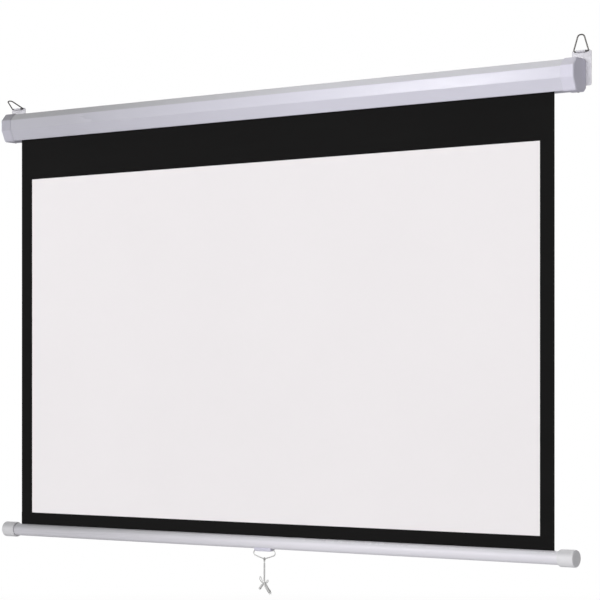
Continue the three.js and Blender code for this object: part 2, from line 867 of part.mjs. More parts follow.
// Handle clip under the bar
const pivotDrop = barRadius + gap + clipWall + handleWireRadius;

function handleClip() {
  const half = clipLength / 2;
  const bottomZ = -barRadius - clipDrop;
  const body = box(-half, half, -clipDepth / 2, clipDepth / 2, bottomZ, 0);
  const bar = rodX(barRadius + gap, -half - cutOverrun, half + cutOverrun);
  const wire = rodX(handleWireRadius + gap, -half - cutOverrun, half + cutOverrun, smallSides);
  const seat = bottomZ + screwHeadHeight;
  let clip = body.subtract(bar).subtract(wire.translate([0, 0, -pivotDrop]));
  for (const x of [-clipScrewX, clipScrewX]) {
    clip = clip.subtract(rodZ(screwShankRadius + gap, x, 0, bottomZ, 0));
    clip = clip.subtract(rodZ(screwHeadRadius + gap, x, 0, bottomZ - cutOverrun, seat + gap));
  }
  return piece('handle_clip', capGrey, geometryOf(clip));
}

function clipScrews() {
  const z = -barRadius - clipDrop + screwHeadHeight;
  return [
    piece('clip_screw_left', zinc, panScrew(), [-clipScrewX, 0, z], [Math.PI, 0, 0]),
    piece('clip_screw_right', zinc, panScrew(), [clipScrewX, 0, z], [Math.PI, 0, 0]),
  ];
}

// The wire handle hangs from its pivot in the clip.
function wireHandle() {
  const half = handleWidth / 2;
  const path = bentPath([
    [-handleEndX, 0],
    [-half + handleBend, 0],
    [-half, -handleSideDrop],
    [-half, -handleShoulderDrop],
    [0, -handleDrop],
    [half, -handleShoulderDrop],
    [half, -handleSideDrop],
    [half - handleBend, 0],
    [handleEndX, 0],
  ], handleBend / 2);
  return piece('wire_handle', zinc, geometryOf(wireAlong(path, handleWireRadius, wireSides, loopSteps)));
}

// Cord, built about the lowest point of the handle

const eyeRadius = handleWireRadius + gap + cordRadius;
const hitchZ = -eyeRadius - cordRadius;
const cordStartZ = hitchZ - hitchRadius - gap;

// The cord's route down from its hitch, as it hangs in the photo.
const cordRoute = [
  [0, 0, 0], [0.02, 0, -3.4], [0.08, -0.04, -6.8], [0.16, -0.1, -10.2], [0.22, -0.16, -13.6],
  [0.26, -0.22, -17], [0.26, -0.26, -20.4], [0.22, -0.28, -23.8], [0.14, -0.26, -27.2],
  [0.04, -0.22, -30.6], [-0.08, -0.16, -34], [-0.18, -0.1, -37.4], [-0.22, -0.04, -40.8],
  [-0.18, 0, -44.2], [-0.1, 0, -47],
];
const cordEnd = cordRoute[cordRoute.length - 1];
const knotPlace = [cordEnd[0], cordEnd[1], cordStartZ + cordEnd[2] - gap - knotRadius];

function smoothPath(points) {
  return new THREE.CatmullRomCurve3(points.map((point) => new THREE.Vector3(...point)));
}

// The eye of the cord round the wire, and its small hitch below.
function cordHitch() {
  const torus = new THREE.TorusGeometry(eyeRadius, cordRadius, wireSides, smallSides);
  torus.rotateY(Math.PI / 2);
  const ball = new THREE.SphereGeometry(hitchRadius, screwSides, wireSides);
  ball.translate(0, 0, hitchZ);
  return piece('cord_hitch', cordGrey, geometryOf(solidOf(torus).add(solidOf(ball))));
}

function pullCord() {
  const path = smoothPath(cordRoute);
  const cord = wireAlong(path, cordRadius, wireSides, cordSteps);
  return piece('pull_cord', cordGrey, geometryOf(cord), [0, 0, cordStartZ]);
}

// Shares of the bow's own reach, as sideways, forward and upward places from the knot.
const bowReach = 22;
const shortTailShares = [[0, 0, 0], [-0.2, -0.06, -0.22], [-0.4, -0.1, -0.44], [-0.58, -0.06, -0.66]];
const longTailShares = [[0, 0, 0], [0.22, -0.04, -0.26], [0.5, -0.1, -0.6], [0.8, -0.04, -1]];
const firstLoopShares = [[0, 0, 0], [-0.22, -0.1, 0.02], [-0.5, -0.2, 0.4], [-0.42, -0.18, 0.68],
  [-0.27, -0.14, 0.44], [-0.2, -0.1, 0.1], [-0.04, -0.04, 0]];
const secondLoopShares = [[0, 0, 0], [0.14, 0.14, -0.04], [0.34, 0.22, 0.08], [0.38, 0.2, 0.3],
  [0.25, 0.17, 0.26], [0.18, 0.1, 0.04], [0.03, 0.03, 0]];
const tailSteps = 8;
const halfLoopSteps = 7;

function bowStrand(shares, radius, steps) {
  const points = shares.map((share) => share.map((value) => value * bowReach));
  return wireAlong(smoothPath(points), radius, wireSides, steps);
}

// A loop is two strands that meet in a small ball at its tip.
function bowLoop(shares) {
  const middle = Math.floor(shares.length / 2);
  const tip = shares[middle].map((value) => value * bowReach);
  const ball = solidOf(new THREE.SphereGeometry(bowLoopTipRadius, wireSides, wireSides).translate(...tip));
  return ball.add(bowStrand(shares.slice(0, middle + 1), bowLoopStrandRadius, halfLoopSteps))
    .add(bowStrand(shares.slice(middle), bowLoopStrandRadius, halfLoopSteps));
}

// The knot at the cord's end with two small loops and two tails.
function cordBow() {
  const ball = solidOf(new THREE.SphereGeometry(knotRadius, screwSides, wireSides));
  const bow = ball.add(bowStrand(shortTailShares, tailRadius, tailSteps))
    .add(bowStrand(longTailShares, tailRadius, tailSteps))
    .add(bowLoop(firstLoopShares)).add(bowLoop(secondLoopShares));
  return piece('cord_bow', cordGrey, geometryOf(bow), knotPlace);
}

// Assembly

function groupAt(place, members) {
  const group = new THREE.Group();
  group.position.set(...place);
  group.add(...members);
  return group;
}

const cord = groupAt([0, 0, -handleDrop], [cordHitch(), pullCord(), cordBow()]);
const handle = groupAt([0, 0, -pivotDrop], [wireHandle(), cord]);
const weightBar = groupAt([0, sheetY, barZ], [
  weightBarTube(),
  hemRod(),
  ...barCaps(),
  handleClip(),
  ...clipScrews(),
  handle,
]);
const roller = groupAt([0, rollerY, rollerZ], [
  rollerTube(),
  woundFabric(),
  leftRollerPlug(),
  leftGudgeon(),
  leftBearingBush(),
  pawlCarrier(),
  ratchetWheel(),
  ...pawls(),
  ...pawlPins(),
  springShaft(),
  springAnchor(),
  springDrivePlug(),
  torsionSpring(),
]);

const projectionScreen = groupAt([0, 0, 0], [
  caseShell(),
  leftEndCap(),
  rightEndCap(),
  ...capScrews(),
  ...wallPlates(),
  ...plateScrews(),
  ...hangingLoops(),
  ...screenPieces(),
  roller,
  weightBar,
]);

export default projectionScreen;
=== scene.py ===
"""Pull-down projection screen: the finished looks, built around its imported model."""

import math

import bmesh
import bpy
from bpy.props import FloatProperty, FloatVectorProperty, IntProperty, PointerProperty
from mathutils import Matrix, Vector


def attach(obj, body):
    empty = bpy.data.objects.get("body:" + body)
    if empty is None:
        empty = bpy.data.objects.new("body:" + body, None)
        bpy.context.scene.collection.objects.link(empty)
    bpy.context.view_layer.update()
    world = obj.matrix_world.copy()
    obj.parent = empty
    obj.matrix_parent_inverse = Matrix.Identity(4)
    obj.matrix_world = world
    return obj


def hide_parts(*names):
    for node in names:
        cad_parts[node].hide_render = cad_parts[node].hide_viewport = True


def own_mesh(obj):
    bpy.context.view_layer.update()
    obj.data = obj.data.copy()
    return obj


bl_info = {
    "name": "Pull-down Projection Screen",
    "version": (1, 0, 0),
    "blender": (4, 5, 0),
    "location": "3D View > Sidebar > Screen",
    "description": "Builds the case, cloth, weight bar, handle, cord and stage of a pull-down screen",
    "category": "Object",
}

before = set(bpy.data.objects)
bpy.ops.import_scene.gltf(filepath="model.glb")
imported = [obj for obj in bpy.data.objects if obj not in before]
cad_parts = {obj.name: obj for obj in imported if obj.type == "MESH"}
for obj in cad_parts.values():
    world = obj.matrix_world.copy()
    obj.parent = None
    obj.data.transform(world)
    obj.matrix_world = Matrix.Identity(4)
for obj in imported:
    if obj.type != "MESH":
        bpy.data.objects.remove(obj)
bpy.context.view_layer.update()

# Places and sizes are in millimetres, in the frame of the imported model.
MM = 0.001
FULL_TURN = 2 * math.pi
HANDS = ((1, "right"), (-1, "left"))

# Cloth and roller
CASE_LOW_Z = -36
VIEW_WIDTH = 1594.0
VIEW_HEIGHT = 897.0
TOP_DROP = 108.0
SIDE_BORDER = 38.5
SHEET_Y = -38.6
ROLLER_Y = -22.4
ROLLER_Z = 4.0
VIEW_TOP_Z = CASE_LOW_Z - TOP_DROP
VIEW_LOW_Z = VIEW_TOP_Z - VIEW_HEIGHT
WHITE_AREA = (-VIEW_WIDTH / 2, VIEW_WIDTH / 2, VIEW_LOW_Z, VIEW_TOP_Z)
FABRIC_HALF = VIEW_WIDTH / 2 + SIDE_BORDER
FABRIC_LOW_Z = -1073.7
STRIP_LOW_Z = -1072.6
FREE_DROP = 1036.0

# End caps, with pads behind the wall plate and a boss for the roller
CAP_END_X = 895.0
CAP_INNER_X = CAP_END_X - 3
CAP_START_X = 861.0
CAP_SKIN = 1.8
BEHIND_WALL = (800, 1000, 0, 40, -60, 60)
PAD = (871, 894.7, -12.3, -2.3)
PAD_HALF = 5
BOSS = [(880, 8.4), (880.6, 9), (893, 9)]
GUDGEON_BORE = 5.6
TANG_HALF_WIDTH = 2.3
TANG_HALF_HEIGHT = 4.3
TANG_START_X = 884.3

# Wall plates, their screws and the hinge of the loops
PLATE_MID_X = 884.0
PLATE_HALF = 25.0
PLATE_THICKNESS = 2.0
PLATE_GAP = 0.3
PLATE_X = (PLATE_MID_X - PLATE_HALF, PLATE_MID_X + PLATE_HALF)
PLATE_Z = (-23.0, 58.0)
PLATE_RECESS = (
    PLATE_X[0] - PLATE_GAP, PLATE_X[1] + 2, -PLATE_THICKNESS - PLATE_GAP, 2, PLATE_Z[0] - PLATE_GAP, 48,
)
PIVOT_Y = -4.0
PIVOT_Z = 55.0
SCREW_X = PLATE_MID_X - 1
PLATE_SCREWS_Z = (18, -12)
CAP_SCREW_PLACE = (-14, 38.1)
HOLE_RADIUS = 1.7
SINK_RADIUS = 3.1
SINK_DEPTH = 1.6

# Weight bar, with its caps, clip and handle
BAR_Z = -1088.5
BAR_RADIUS = 16.0
BAR_WALL = 1.2
BAR_SLOT = 1.5
BAR_END_X = 888.4
BAR_CAP_X = (851.0, 893.0)
BAR_CAP_RADIUS = 20.0
BAR_ROOM = BAR_RADIUS + 0.3
CLIP_HALF = 26.0
CLIP_SCREWS_X = (-5.5, 5.5)
CLIP_SCREW_Z = BAR_Z - 20.4
HANDLE_PIVOT_Z = BAR_Z - 19.3
HANDLE_DROP = 22
HANDLE_LOW_Z = HANDLE_PIVOT_Z - HANDLE_DROP
CORD_TOP_Z = BAR_Z - 49.9

# The case's eight corners as (y, z), counter-clockwise from the low edge at the wall
CORNERS = [
    (-8, CASE_LOW_Z), (0, -28), (0, 28), (-8, 36), (-41, 36), (-56, 19), (-56, -8), (-43, CASE_LOW_Z),
]
CORNER_BENDS = [2.5, 2.5, 2.5, 2.5, 4.5, 4.5, 4.5, 4.5]
# The folded sheet runs round them from the rolled lip behind the slot to the slot's front edge.
CASE_BAND = [(-35.6, -30.8), (-35.6, CASE_LOW_Z), *CORNERS, (-41.6, CASE_LOW_Z)]
CASE_BENDS = [0, 1.3, *CORNER_BENDS[:-1], 2.2, 0]
CAP_OUTLINE = CORNERS[2:] + CORNERS[:2]
CAP_BENDS = CORNER_BENDS[2:] + CORNER_BENDS[:2]

# The stage, in metres and on a 36 mm sensor
SENSOR_WIDTH = 36
VIEW_REACH = 200
LIGHT_DISTANCE = 4
FLOOR_Z = -2.0
FLOOR_RADII = [1, 2, 3, 4, 6, 8, 12, 20, 60]

# The bent wires as (x, z) corners from their pivots, each with its bend radius.
LOOP_OUTLINE = [
    (-2, 0), (-20, 0), (-14.6, 16), (-7.4, 38), (7.4, 38), (14.6, 16), (20, 0), (2, 0),
]
LOOP_BENDS = [0, 3.2, 30, 8.5, 8.5, 30, 3.2, 0]
HANDLE_OUTLINE = [
    (-13, 0), (-30, 0), (-33.5, -6), (-33.5, -12), (0, -HANDLE_DROP), (33.5, -12), (33.5, -6),
    (30, 0), (13, 0),
]
HANDLE_BENDS = [0, 3.5, 6, 6, 5, 6, 6, 3.5, 0]

# The cord's route, as sideways, forward and upward places from its top.
CORD_ROUTE = [
    (0, 0, 0), (0.02, 0, -3.4), (0.08, -0.04, -6.8), (0.16, -0.1, -10.2), (0.22, -0.16, -13.6),
    (0.26, -0.22, -17), (0.26, -0.26, -20.4), (0.22, -0.28, -23.8), (0.14, -0.26, -27.2),
    (0.04, -0.22, -30.6), (-0.08, -0.16, -34), (-0.18, -0.1, -37.4), (-0.22, -0.04, -40.8),
    (-0.18, 0, -44.2), (-0.1, 0, -47),
]
BOW_PLACE = (-0.1, SHEET_Y, CORD_TOP_Z - 50.5)
BOW_REACH = 22.0
SHORT_TAIL = [(0, 0, 0), (-0.2, -0.06, -0.22), (-0.4, -0.1, -0.44), (-0.58, -0.06, -0.66)]
LONG_TAIL = [(0, 0, 0), (0.22, -0.04, -0.26), (0.5, -0.1, -0.6), (0.8, -0.04, -1)]
FIRST_LOOP = [
    (0, 0, 0), (-0.22, -0.1, 0.02), (-0.5, -0.2, 0.4), (-0.42, -0.18, 0.68), (-0.27, -0.14, 0.44),
    (-0.2, -0.1, 0.1), (-0.04, -0.04, 0),
]
SECOND_LOOP = [
    (0, 0, 0), (0.14, 0.14, -0.04), (0.34, 0.22, 0.08), (0.38, 0.2, 0.3), (0.25, 0.17, 0.26),
    (0.18, 0.1, 0.04), (0.03, 0.03, 0),
]

INNER_FINISHES = {
    "Roller Aluminium": ["roller_tube"],
    "Natural Nylon": ["left_roller_plug", "pawl_carrier", "spring_drive_plug"],
    "Bush Brass": ["left_bearing_bush"],
    "Turned Steel": [
        "left_gudgeon", "ratchet_wheel", "upper_pawl", "lower_pawl", "upper_pawl_pin",
        "lower_pawl_pin", "spring_shaft", "spring_anchor", "torsion_spring", "hem_rod",
    ],
}


# Settings


def length_setting(label, about, default, low, high):
    """A length that is given in millimetres and kept in metres."""
    return FloatProperty(
        name=label, description=about, default=default * MM, min=low * MM, max=high * MM,
        subtype="DISTANCE", unit="LENGTH",
    )


def colour_setting(label, about, default):
    return FloatVectorProperty(
        name=label, description=about, default=default, size=3, min=0, max=1, subtype="COLOR",
    )


def level_setting(label, about, default, low=0, high=10):
    return FloatProperty(name=label, description=about, default=default, min=low, max=high)


class ScreenSizes(bpy.types.PropertyGroup):
    """Sizes of the visible pieces that a user may change."""

    case_wall: length_setting("Case Wall", "Thickness of the folded case sheet", 1.2, 0.5, 3)
    cap_round: length_setting("Cap Rounding", "Radius of the end caps' outer rim", 3.6, 0.5, 6)
    loop_wire: length_setting("Loop Wire", "Wire radius of the hanging loops", 1.7, 0.8, 2.5)
    handle_wire: length_setting("Handle Wire", "Wire radius of the pull handle", 1.5, 0.8, 2.5)
    cord_radius: length_setting("Cord Radius", "Radius of the twisted pull cord", 2.2, 0.8, 3)
    cloth_ripple: length_setting("Cloth Ripple", "How far the cloth stands off flat", 0.25, 0, 1)
    bar_round: length_setting("Bar Cap Rounding", "Radius of the bar caps' rounded end", 3, 1, 8)
    fray_count: IntProperty(
        name="Fray Fibres", description="Number of loose fibres on each cord tail",
        default=46, min=0, max=200,
    )


class ScreenColours(bpy.types.PropertyGroup):
    """Colours of the finishes that a user may change."""

    enamel: colour_setting("Enamel", "White enamel of the case", (0.685, 0.675, 0.765))
    bar_enamel: colour_setting("Bar Enamel", "White enamel of the weight bar", (0.8, 0.785, 0.84))
    cap: colour_setting("End Caps", "Moulded plastic of the caps", (0.72, 0.705, 0.81))
    bar_cap: colour_setting("Bar Caps", "Moulded plastic of the bar's caps", (0.785, 0.78, 0.8))
    clip: colour_setting("Handle Clip", "Moulded plastic of the handle clip", (0.61, 0.6, 0.7))
    cloth: colour_setting("Screen Face", "Matt white face of the cloth", (0.88, 0.85, 0.86))
    backing: colour_setting("Screen Back", "Coating on the cloth's back", (0.035, 0.035, 0.037))
    border: colour_setting("Border", "Matt black border", (0.0086, 0.0084, 0.0084))
    zinc: colour_setting("Zinc", "Zinc-plated plates and screws", (0.64, 0.63, 0.67))
    wire: colour_setting("Wire", "Steel wire of the hanging loops", (0.11, 0.105, 0.1))
    handle: colour_setting("Handle Wire", "Steel wire of the pull handle", (0.64, 0.64, 0.63))
    cord: colour_setting("Cord", "Twisted cotton cord", (0.72, 0.72, 0.71))
    floor: colour_setting("Floor", "Plain pale floor", (0.72, 0.72, 0.72))


class ScreenStage(bpy.types.PropertyGroup):
    """Camera and light levels."""

    lens: level_setting("Lens", "Focal length on a 36 mm sensor", 136.51, 10, 500)
    shift_up: level_setting("Vertical Shift", "Camera shift that frames it", 0.1443, -1, 1)
    camera_place: FloatVectorProperty(
        name="Camera Place", description="Where the camera stands",
        default=(3.501, -4.470, -0.702), size=3, subtype="TRANSLATION", unit="LENGTH",
    )
    camera_turn: FloatProperty(
        name="Camera Turn", description="How far the camera turns to the left of straight ahead",
        default=math.radians(37.412), subtype="ANGLE", unit="ROTATION",
    )
    key: level_setting("Key Light", "Strength of the soft front light", 2.69)
    gloss: level_setting("Gloss Light", "Strength of the light that only gloss shows", 0.028)
    ambient: level_setting("Ambient", "Level of the light from all around", 0.285)
    rear: level_setting("Rear Light", "Strength of the soft light from behind", 1.1)
    top: level_setting("Top Light", "Strength of the soft light from above", 0.35)


class ScreenSettings(bpy.types.PropertyGroup):
    """All settings of the projection screen."""

    sizes: PointerProperty(type=ScreenSizes)
    colours: PointerProperty(type=ScreenColours)
    stage: PointerProperty(type=ScreenStage)


# Mesh helpers


def linked(name, mesh):
    """A new object of the scene for a mesh."""
    piece = bpy.data.objects.new(name, mesh)
    bpy.context.scene.collection.objects.link(piece)
    return piece


def raw_mesh(name, places, edges=(), faces=()):
    """A mesh from places in millimetres."""
    mesh = bpy.data.meshes.new(name)
    mesh.from_pydata([tuple(c * MM for c in place) for place in places], edges, faces)
    return mesh


def mesh_piece(name, places, faces):
    """A closed and softly shaded piece from places in millimetres."""
    piece = linked(name, raw_mesh(name, places, [], faces))
    piece.data.validate()
    face_outwards(piece)
    smooth(piece)
    return piece


def edited(piece, change):
    """Changes the piece's mesh through a bmesh."""
    work = bmesh.new()
    work.from_mesh(piece.data)
    change(work)
    work.to_mesh(piece.data)
    work.free()


def face_outwards(piece):
    """Merges doubled points and turns all faces of a closed mesh outwards."""
    def turn(work):
        bmesh.ops.remove_doubles(work, verts=work.verts, dist=1e-6)
        bmesh.ops.recalc_face_normals(work, faces=work.faces)

    edited(piece, turn)


def smooth(piece, angle=35):
    for polygon in piece.data.polygons:
        polygon.use_smooth = True
    piece.data.set_sharp_from_angle(angle=math.radians(angle))


def baked(piece):
    """Applies the piece's modifiers and leaves a plain mesh."""
    bpy.context.view_layer.update()
    depsgraph = bpy.context.evaluated_depsgraph_get()
    mesh = bpy.data.meshes.new_from_object(piece.evaluated_get(depsgraph), depsgraph=depsgraph)
    piece.modifiers.clear()
    old = piece.data
    piece.data = mesh
    bpy.data.meshes.remove(old)
    return piece


def modified(piece, kind, **settings):
    """Applies one modifier."""
    modifier = piece.modifiers.new(kind.title(), kind)
    for name, value in settings.items():
        setattr(modifier, name, value)
    return baked(piece)


def combined(piece, other, operation="DIFFERENCE"):
    """Cuts away or adds another mesh, which is used up."""
    modified(piece, "BOOLEAN", operation=operation, solver="EXACT", object=other)
    bpy.data.objects.remove(other)
    return piece


def joined(name, pieces):
    """Several meshes as one piece."""
    work = bmesh.new()
    for piece in pieces:
        work.from_mesh(piece.data)
        bpy.data.objects.remove(piece)
    mesh = bpy.data.meshes.new(name)
    work.to_mesh(mesh)
    work.free()
    return linked(name, mesh)


def spaced(start, end, count):
    return [start + (end - start) * i / count for i in range(count + 1)]


def arc(radius, start, sweep, steps):
    """Points on an arc round (0, 0)."""
    angles = [start + sweep * i / steps for i in range(steps + 1)]
    return [(radius * math.cos(a), radius * math.sin(a)) for a in angles]


def block(x0, x1, y0, y1, z0, z1):
    corners = [(x, y, z) for x in (x0, x1) for y in (y0, y1) for z in (z0, z1)]
    faces = [(0, 1, 3, 2), (4, 6, 7, 5), (0, 4, 5, 1), (2, 3, 7, 6), (0, 2, 6, 4), (1, 5, 7, 3)]
    return mesh_piece("block", corners, faces)


def lofted(name, rings, thin=False):
    """Joins rings of equal counts with quads; a thin wall's ends are filled across the wall."""
    places = [place for ring in rings for place in ring]
    count = len(rings[0])
    last = len(places) - count
    faces = []
    for a in range(0, last, count):
        for i in range(count):
            j = (i + 1) % count
            faces.append((a + i, a + j, a + count + j, a + count + i))
    if not thin:
        faces += [tuple(range(count))[::-1], tuple(range(last, len(places)))]
    piece = mesh_piece(name, places, faces)
    if thin:
        edited(piece, lambda work: fill_ends(work, places[0][0] * MM, places[-1][0] * MM))
    return piece


def extruded(name, stations, section, thin=False):
    """A (y, z) section drawn out along X."""
    return lofted(name, [[(x, y, z) for y, z in section] for x in stations], thin)


def fill_ends(work, *ends):
    for x in ends:
        edges = [
            e for e in work.edges
            if e.is_boundary and all(abs(v.co.x - x) < 1e-5 for v in e.verts)
        ]
        bmesh.ops.triangle_fill(work, edges=edges, use_beauty=True)
    bmesh.ops.recalc_face_normals(work, faces=work.faces)


def turned(name, profile, place, sides):
    """A solid turned about a line along X from (x, radius) pairs."""
    return lofted(name, [
        [(x, place[0] + y, place[1] + z) for y, z in arc(radius, 0, FULL_TURN, sides)[:-1]]
        for x, radius in profile
    ])


def drilled(piece, profile, place, axis, sides):
    """Cuts a turned hole along Y or Z; its (offset, radius) pairs are counted from the place."""
    hole = turned("hole", profile, (0, 0), sides)
    turn = (math.pi / 2, 4, "Z") if axis == "Y" else (-math.pi / 2, 4, "Y")
    hole.data.transform(Matrix.Translation(Vector(place) * MM) @ Matrix.Rotation(*turn))
    return combined(piece, hole)


def screw_holes(piece, low):
    """Cuts the two countersunk holes of a wall plate, each from its sunk end down to a depth."""
    profile = [
        (low, HOLE_RADIUS), (-SINK_DEPTH, HOLE_RADIUS), (0, SINK_RADIUS), (PLATE_THICKNESS, SINK_RADIUS),
    ]
    for z in PLATE_SCREWS_Z:
        drilled(piece, profile, (SCREW_X, 0, z), "Y", 24)
    return piece


def rounded_rim(end, radius, rounding, steps):
    """The (x, radius) pairs of a rounded outer rim."""
    quarter = arc(rounding, 0, math.pi / 2, steps)
    return [(end - rounding + past, radius - rounding + out) for out, past in quarter]


def corner_arc(before, corner, after, radius, steps):
    """Points that round one corner of a path, with a support point on each side."""
    support = 0.7
    corner = Vector(corner)
    entry = (Vector(before) - corner).normalized()
    leave = (Vector(after) - corner).normalized()
    half = entry.angle(leave) / 2
    reach = radius / math.tan(half)
    centre = corner + (entry + leave).normalized() * (radius / math.sin(half))
    start = corner + entry * reach - centre
    end = corner + leave * reach - centre
    turn = math.atan2(start.x * end.y - start.y * end.x, start.dot(end))
    points = [tuple(corner + entry * (reach + support))]
    for c, s in arc(1, 0, turn, steps):
        points.append((centre.x + start.x * c - start.y * s, centre.y + start.x * s + start.y * c))
    points.append(tuple(corner + leave * (reach + support)))
    return points


def rounded_path(corners, radii, closed=True, steps=6):
    """A path through corners with each one rounded; an open path keeps its two ends."""
    count = len(corners)
    path = []
    for i, (corner, radius) in enumerate(zip(corners, radii)):
        if not closed and i in (0, count - 1):
            path.append(tuple(corner))
        else:
            path += corner_arc(corners[i - 1], corner, corners[(i + 1) % count], radius, steps)
    return path


def crossing(first, second):
    """Where two lines meet, each given as a point and a direction."""
    (p, d), (q, e) = first, second
    share = ((q.x - p.x) * e.y - (q.y - p.y) * e.x) / (d.x * e.y - d.y * e.x)
    return tuple(p + d * share)


def offset_corners(corners, distance, closed=True):
    """Moves each edge of a counter-clockwise path to its left, which is inwards."""
    ends = corners[1:] + corners[:1] if closed else corners[1:]
    edges = []
    for start, end in zip(corners, ends):
        length = (Vector(end) - Vector(start)).length
        along = (Vector(end) - Vector(start)).normalized()
        edges.append((Vector(start) + Vector((-along.y, along.x)) * distance, along))
    if closed:
        return [crossing(edges[i - 1], edge) for i, edge in enumerate(edges)]
    middle = [crossing(*pair) for pair in zip(edges, edges[1:])]
    start, along = edges[-1]
    return [tuple(edges[0][0]), *middle, tuple(start + along * length)]


def finished(piece, body, finish, *nodes, slot):
    """Gives a piece its material and its body, and hides the CAD nodes that it stands for; the slot is
    not used.
    """
    piece.data.materials.clear()
    piece.data.materials.append(material_of(finish))
    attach(piece, body)
    if nodes:
        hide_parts(*nodes)
    return piece


def add_pair(build, body, finish, node_name, slot, angle):
    """Builds a right-hand piece, and the left-hand one as its mirror image."""
    for side, hand in HANDS:
        piece = build(hand)
        if side < 0:
            piece.data.transform(Matrix.Diagonal((-1, 1, 1, 1)))
            face_outwards(piece)
        smooth(piece, angle)
        finished(piece, body, finish, f"{hand}_{node_name}", slot=slot)


# Node helpers


def feed(tree, socket, value):
    """Sets a socket, or links it to another socket or to each of a list."""
    if isinstance(value, list):
        for each in value:
            tree.links.new(each, socket)
    elif isinstance(value, bpy.types.NodeSocket):
        tree.links.new(value, socket)
    else:
        socket.default_value = value


def node(tree, kind, inputs=None, **settings):
    """Adds a node and gives back its outputs."""
    made = tree.nodes.new(kind)
    for name, value in settings.items():
        setattr(made, name, value)
    for name, value in (inputs or {}).items():
        feed(tree, made.inputs[name], value)
    return made.outputs


def maths(tree, operation, *values):
    return node(tree, "ShaderNodeMath", dict(enumerate(values)), operation=operation)[0]


def times(tree, first, second):
    return maths(tree, "MULTIPLY", first, second)


def mix_colours(tree, factor, first, second):
    return node(tree, "ShaderNodeMix", {0: factor, 6: first, 7: second}, data_type="RGBA")[2]


def noise(tree, place, scale, detail, roughness=0.5, distortion=0.0):
    return node(tree, "ShaderNodeTexNoise", {
        "Vector": place, "Scale": scale, "Detail": detail, "Roughness": roughness,
        "Distortion": distortion,
    })["Fac"]


def ranged(tree, value, low, high, to_low=0.0, to_high=1.0, curve="LINEAR"):
    """Maps one range on another and holds its ends."""
    return node(tree, "ShaderNodeMapRange", {
        "Value": value, "From Min": low, "From Max": high, "To Min": to_low, "To Max": to_high,
    }, interpolation_type=curve)[0]


def parts_of(tree, vector):
    return node(tree, "ShaderNodeSeparateXYZ", {"Vector": vector})


def vector_of(tree, x=0.0, y=0.0, z=0.0):
    return node(tree, "ShaderNodeCombineXYZ", {"X": x, "Y": y, "Z": z})[0]


def scaled(tree, vector, scale):
    return node(tree, "ShaderNodeVectorMath", {0: vector, "Scale": scale}, operation="SCALE")[0]


SOCKET_KINDS = {float: "Float", int: "Int", tuple: "Color"}
MADE = {}


def new_group(name, inputs, outputs, kind="ShaderNodeTree"):
    """A node group; an input has a default value, or just a socket type where it can't have one."""
    group = bpy.data.node_groups.new(name, kind)
    for label, default in inputs.items():
        bare = isinstance(default, str)
        made = group.interface.new_socket(
            label, in_out="INPUT",
            socket_type="NodeSocket" + (default if bare else SOCKET_KINDS[type(default)]),
        )
        if not bare:
            made.default_value = default
    for label, socket in outputs.items():
        group.interface.new_socket(label, in_out="OUTPUT", socket_type="NodeSocket" + socket)
    return group, group.nodes.new("NodeGroupInput").outputs, group.nodes.new("NodeGroupOutput").inputs


def made_once(key, maker):
    """A tree or a material, made when it is first asked for."""
    if key not in MADE:
        MADE[key] = maker()
    return MADE[key]


# Shared surface effects


def grain_group():
    """Fine bumps of paint or moulded plastic."""
    group, given, result = new_group(
        "Fine Grain", {"Vector": "Vector", "Scale": 900.0}, {"Height": "Float"},
    )
    fine = noise(group, given["Vector"], given["Scale"], 3.0, 0.6)
    broad = noise(group, given["Vector"], times(group, given["Scale"], 0.12), 1.0)
    feed(group, result["Height"], maths(group, "ADD", fine, times(group, broad, 1.5)))
    return group


def tone_group():
    """Slow drift between two close tones."""
    group, given, result = new_group("Tone Drift", {
        "Vector": "Vector", "Scale": 6.0, "Tone": (0.8, 0.8, 0.8, 1), "Other Tone": (0.7, 0.7, 0.7, 1),
    }, {"Color": "Color"})
    drift = ranged(group, noise(group, given["Vector"], given["Scale"], 4.0, 0.55), 0.3, 0.7)
    feed(group, result["Color"], mix_colours(group, drift, given["Tone"], given["Other Tone"]))
    return group


def dust_and_shade_group():
    """Dust with painted shade on faces that look up, and how far a face looks down."""
    group, given, result = new_group(
        "Settled Dust And Top Shade", {"Vector": "Vector", "Scale": 30.0, "Amount": 0.5},
        {"Mask": "Float", "Underside": "Float"},
    )
    up = parts_of(group, node(group, "ShaderNodeNewGeometry")["Normal"])["Z"]
    # Dust and painted shade on faces that look up, in one mask.
    facing = ranged(group, up, 0.12, 0.62, curve="SMOOTHSTEP")
    patchy = ranged(group, noise(group, given["Vector"], given["Scale"], 5.0, 0.7), 0.25, 0.75, 0.78)
    feed(group, result["Mask"], times(group, times(group, facing, patchy), given["Amount"]))
    feed(group, result["Underside"], ranged(group, up, -0.75, -0.97))
    return group


def left_shade_group():
    """Painted shade that deepens towards the left end and on faces that look up."""
    group, given, result = new_group(
        "Painted Left Shade", {"Vector": "Vector", "Amount": 0.4}, {"Mask": "Float"},
    )
    # Painted shade along the case: none right of X 0.15 m, full from X -0.65 m leftwards, and deeper on
    # faces that look up.
    share = ranged(group, parts_of(group, given["Vector"])["X"], 0.15, -0.65)
    up = parts_of(group, node(group, "ShaderNodeNewGeometry")["Normal"])["Z"]
    shade_depth = times(group, share, ranged(group, up, -0.5, 0.66, 0.45))
    feed(group, result["Mask"], times(group, shade_depth, given["Amount"]))
    return group


def streak_group():
    """Thin rubbed streaks from handling."""
    group, given, result = new_group(
        "Rubbed Streaks", {"Vector": "Vector", "Scale": 40.0, "Low": 0.3, "High": 0.5},
        {"Roughness": "Float", "Height": "Float"},
    )
    drawn = node(group, "ShaderNodeMapping", {"Vector": given["Vector"], "Scale": (0.12, 1.0, 1.0)})[0]
    height = noise(group, drawn, given["Scale"], 6.0, 0.65)
    feed(group, result["Roughness"], ranged(group, height, 0.3, 0.7, given["Low"], given["High"]))
    feed(group, result["Height"], height)
    return group


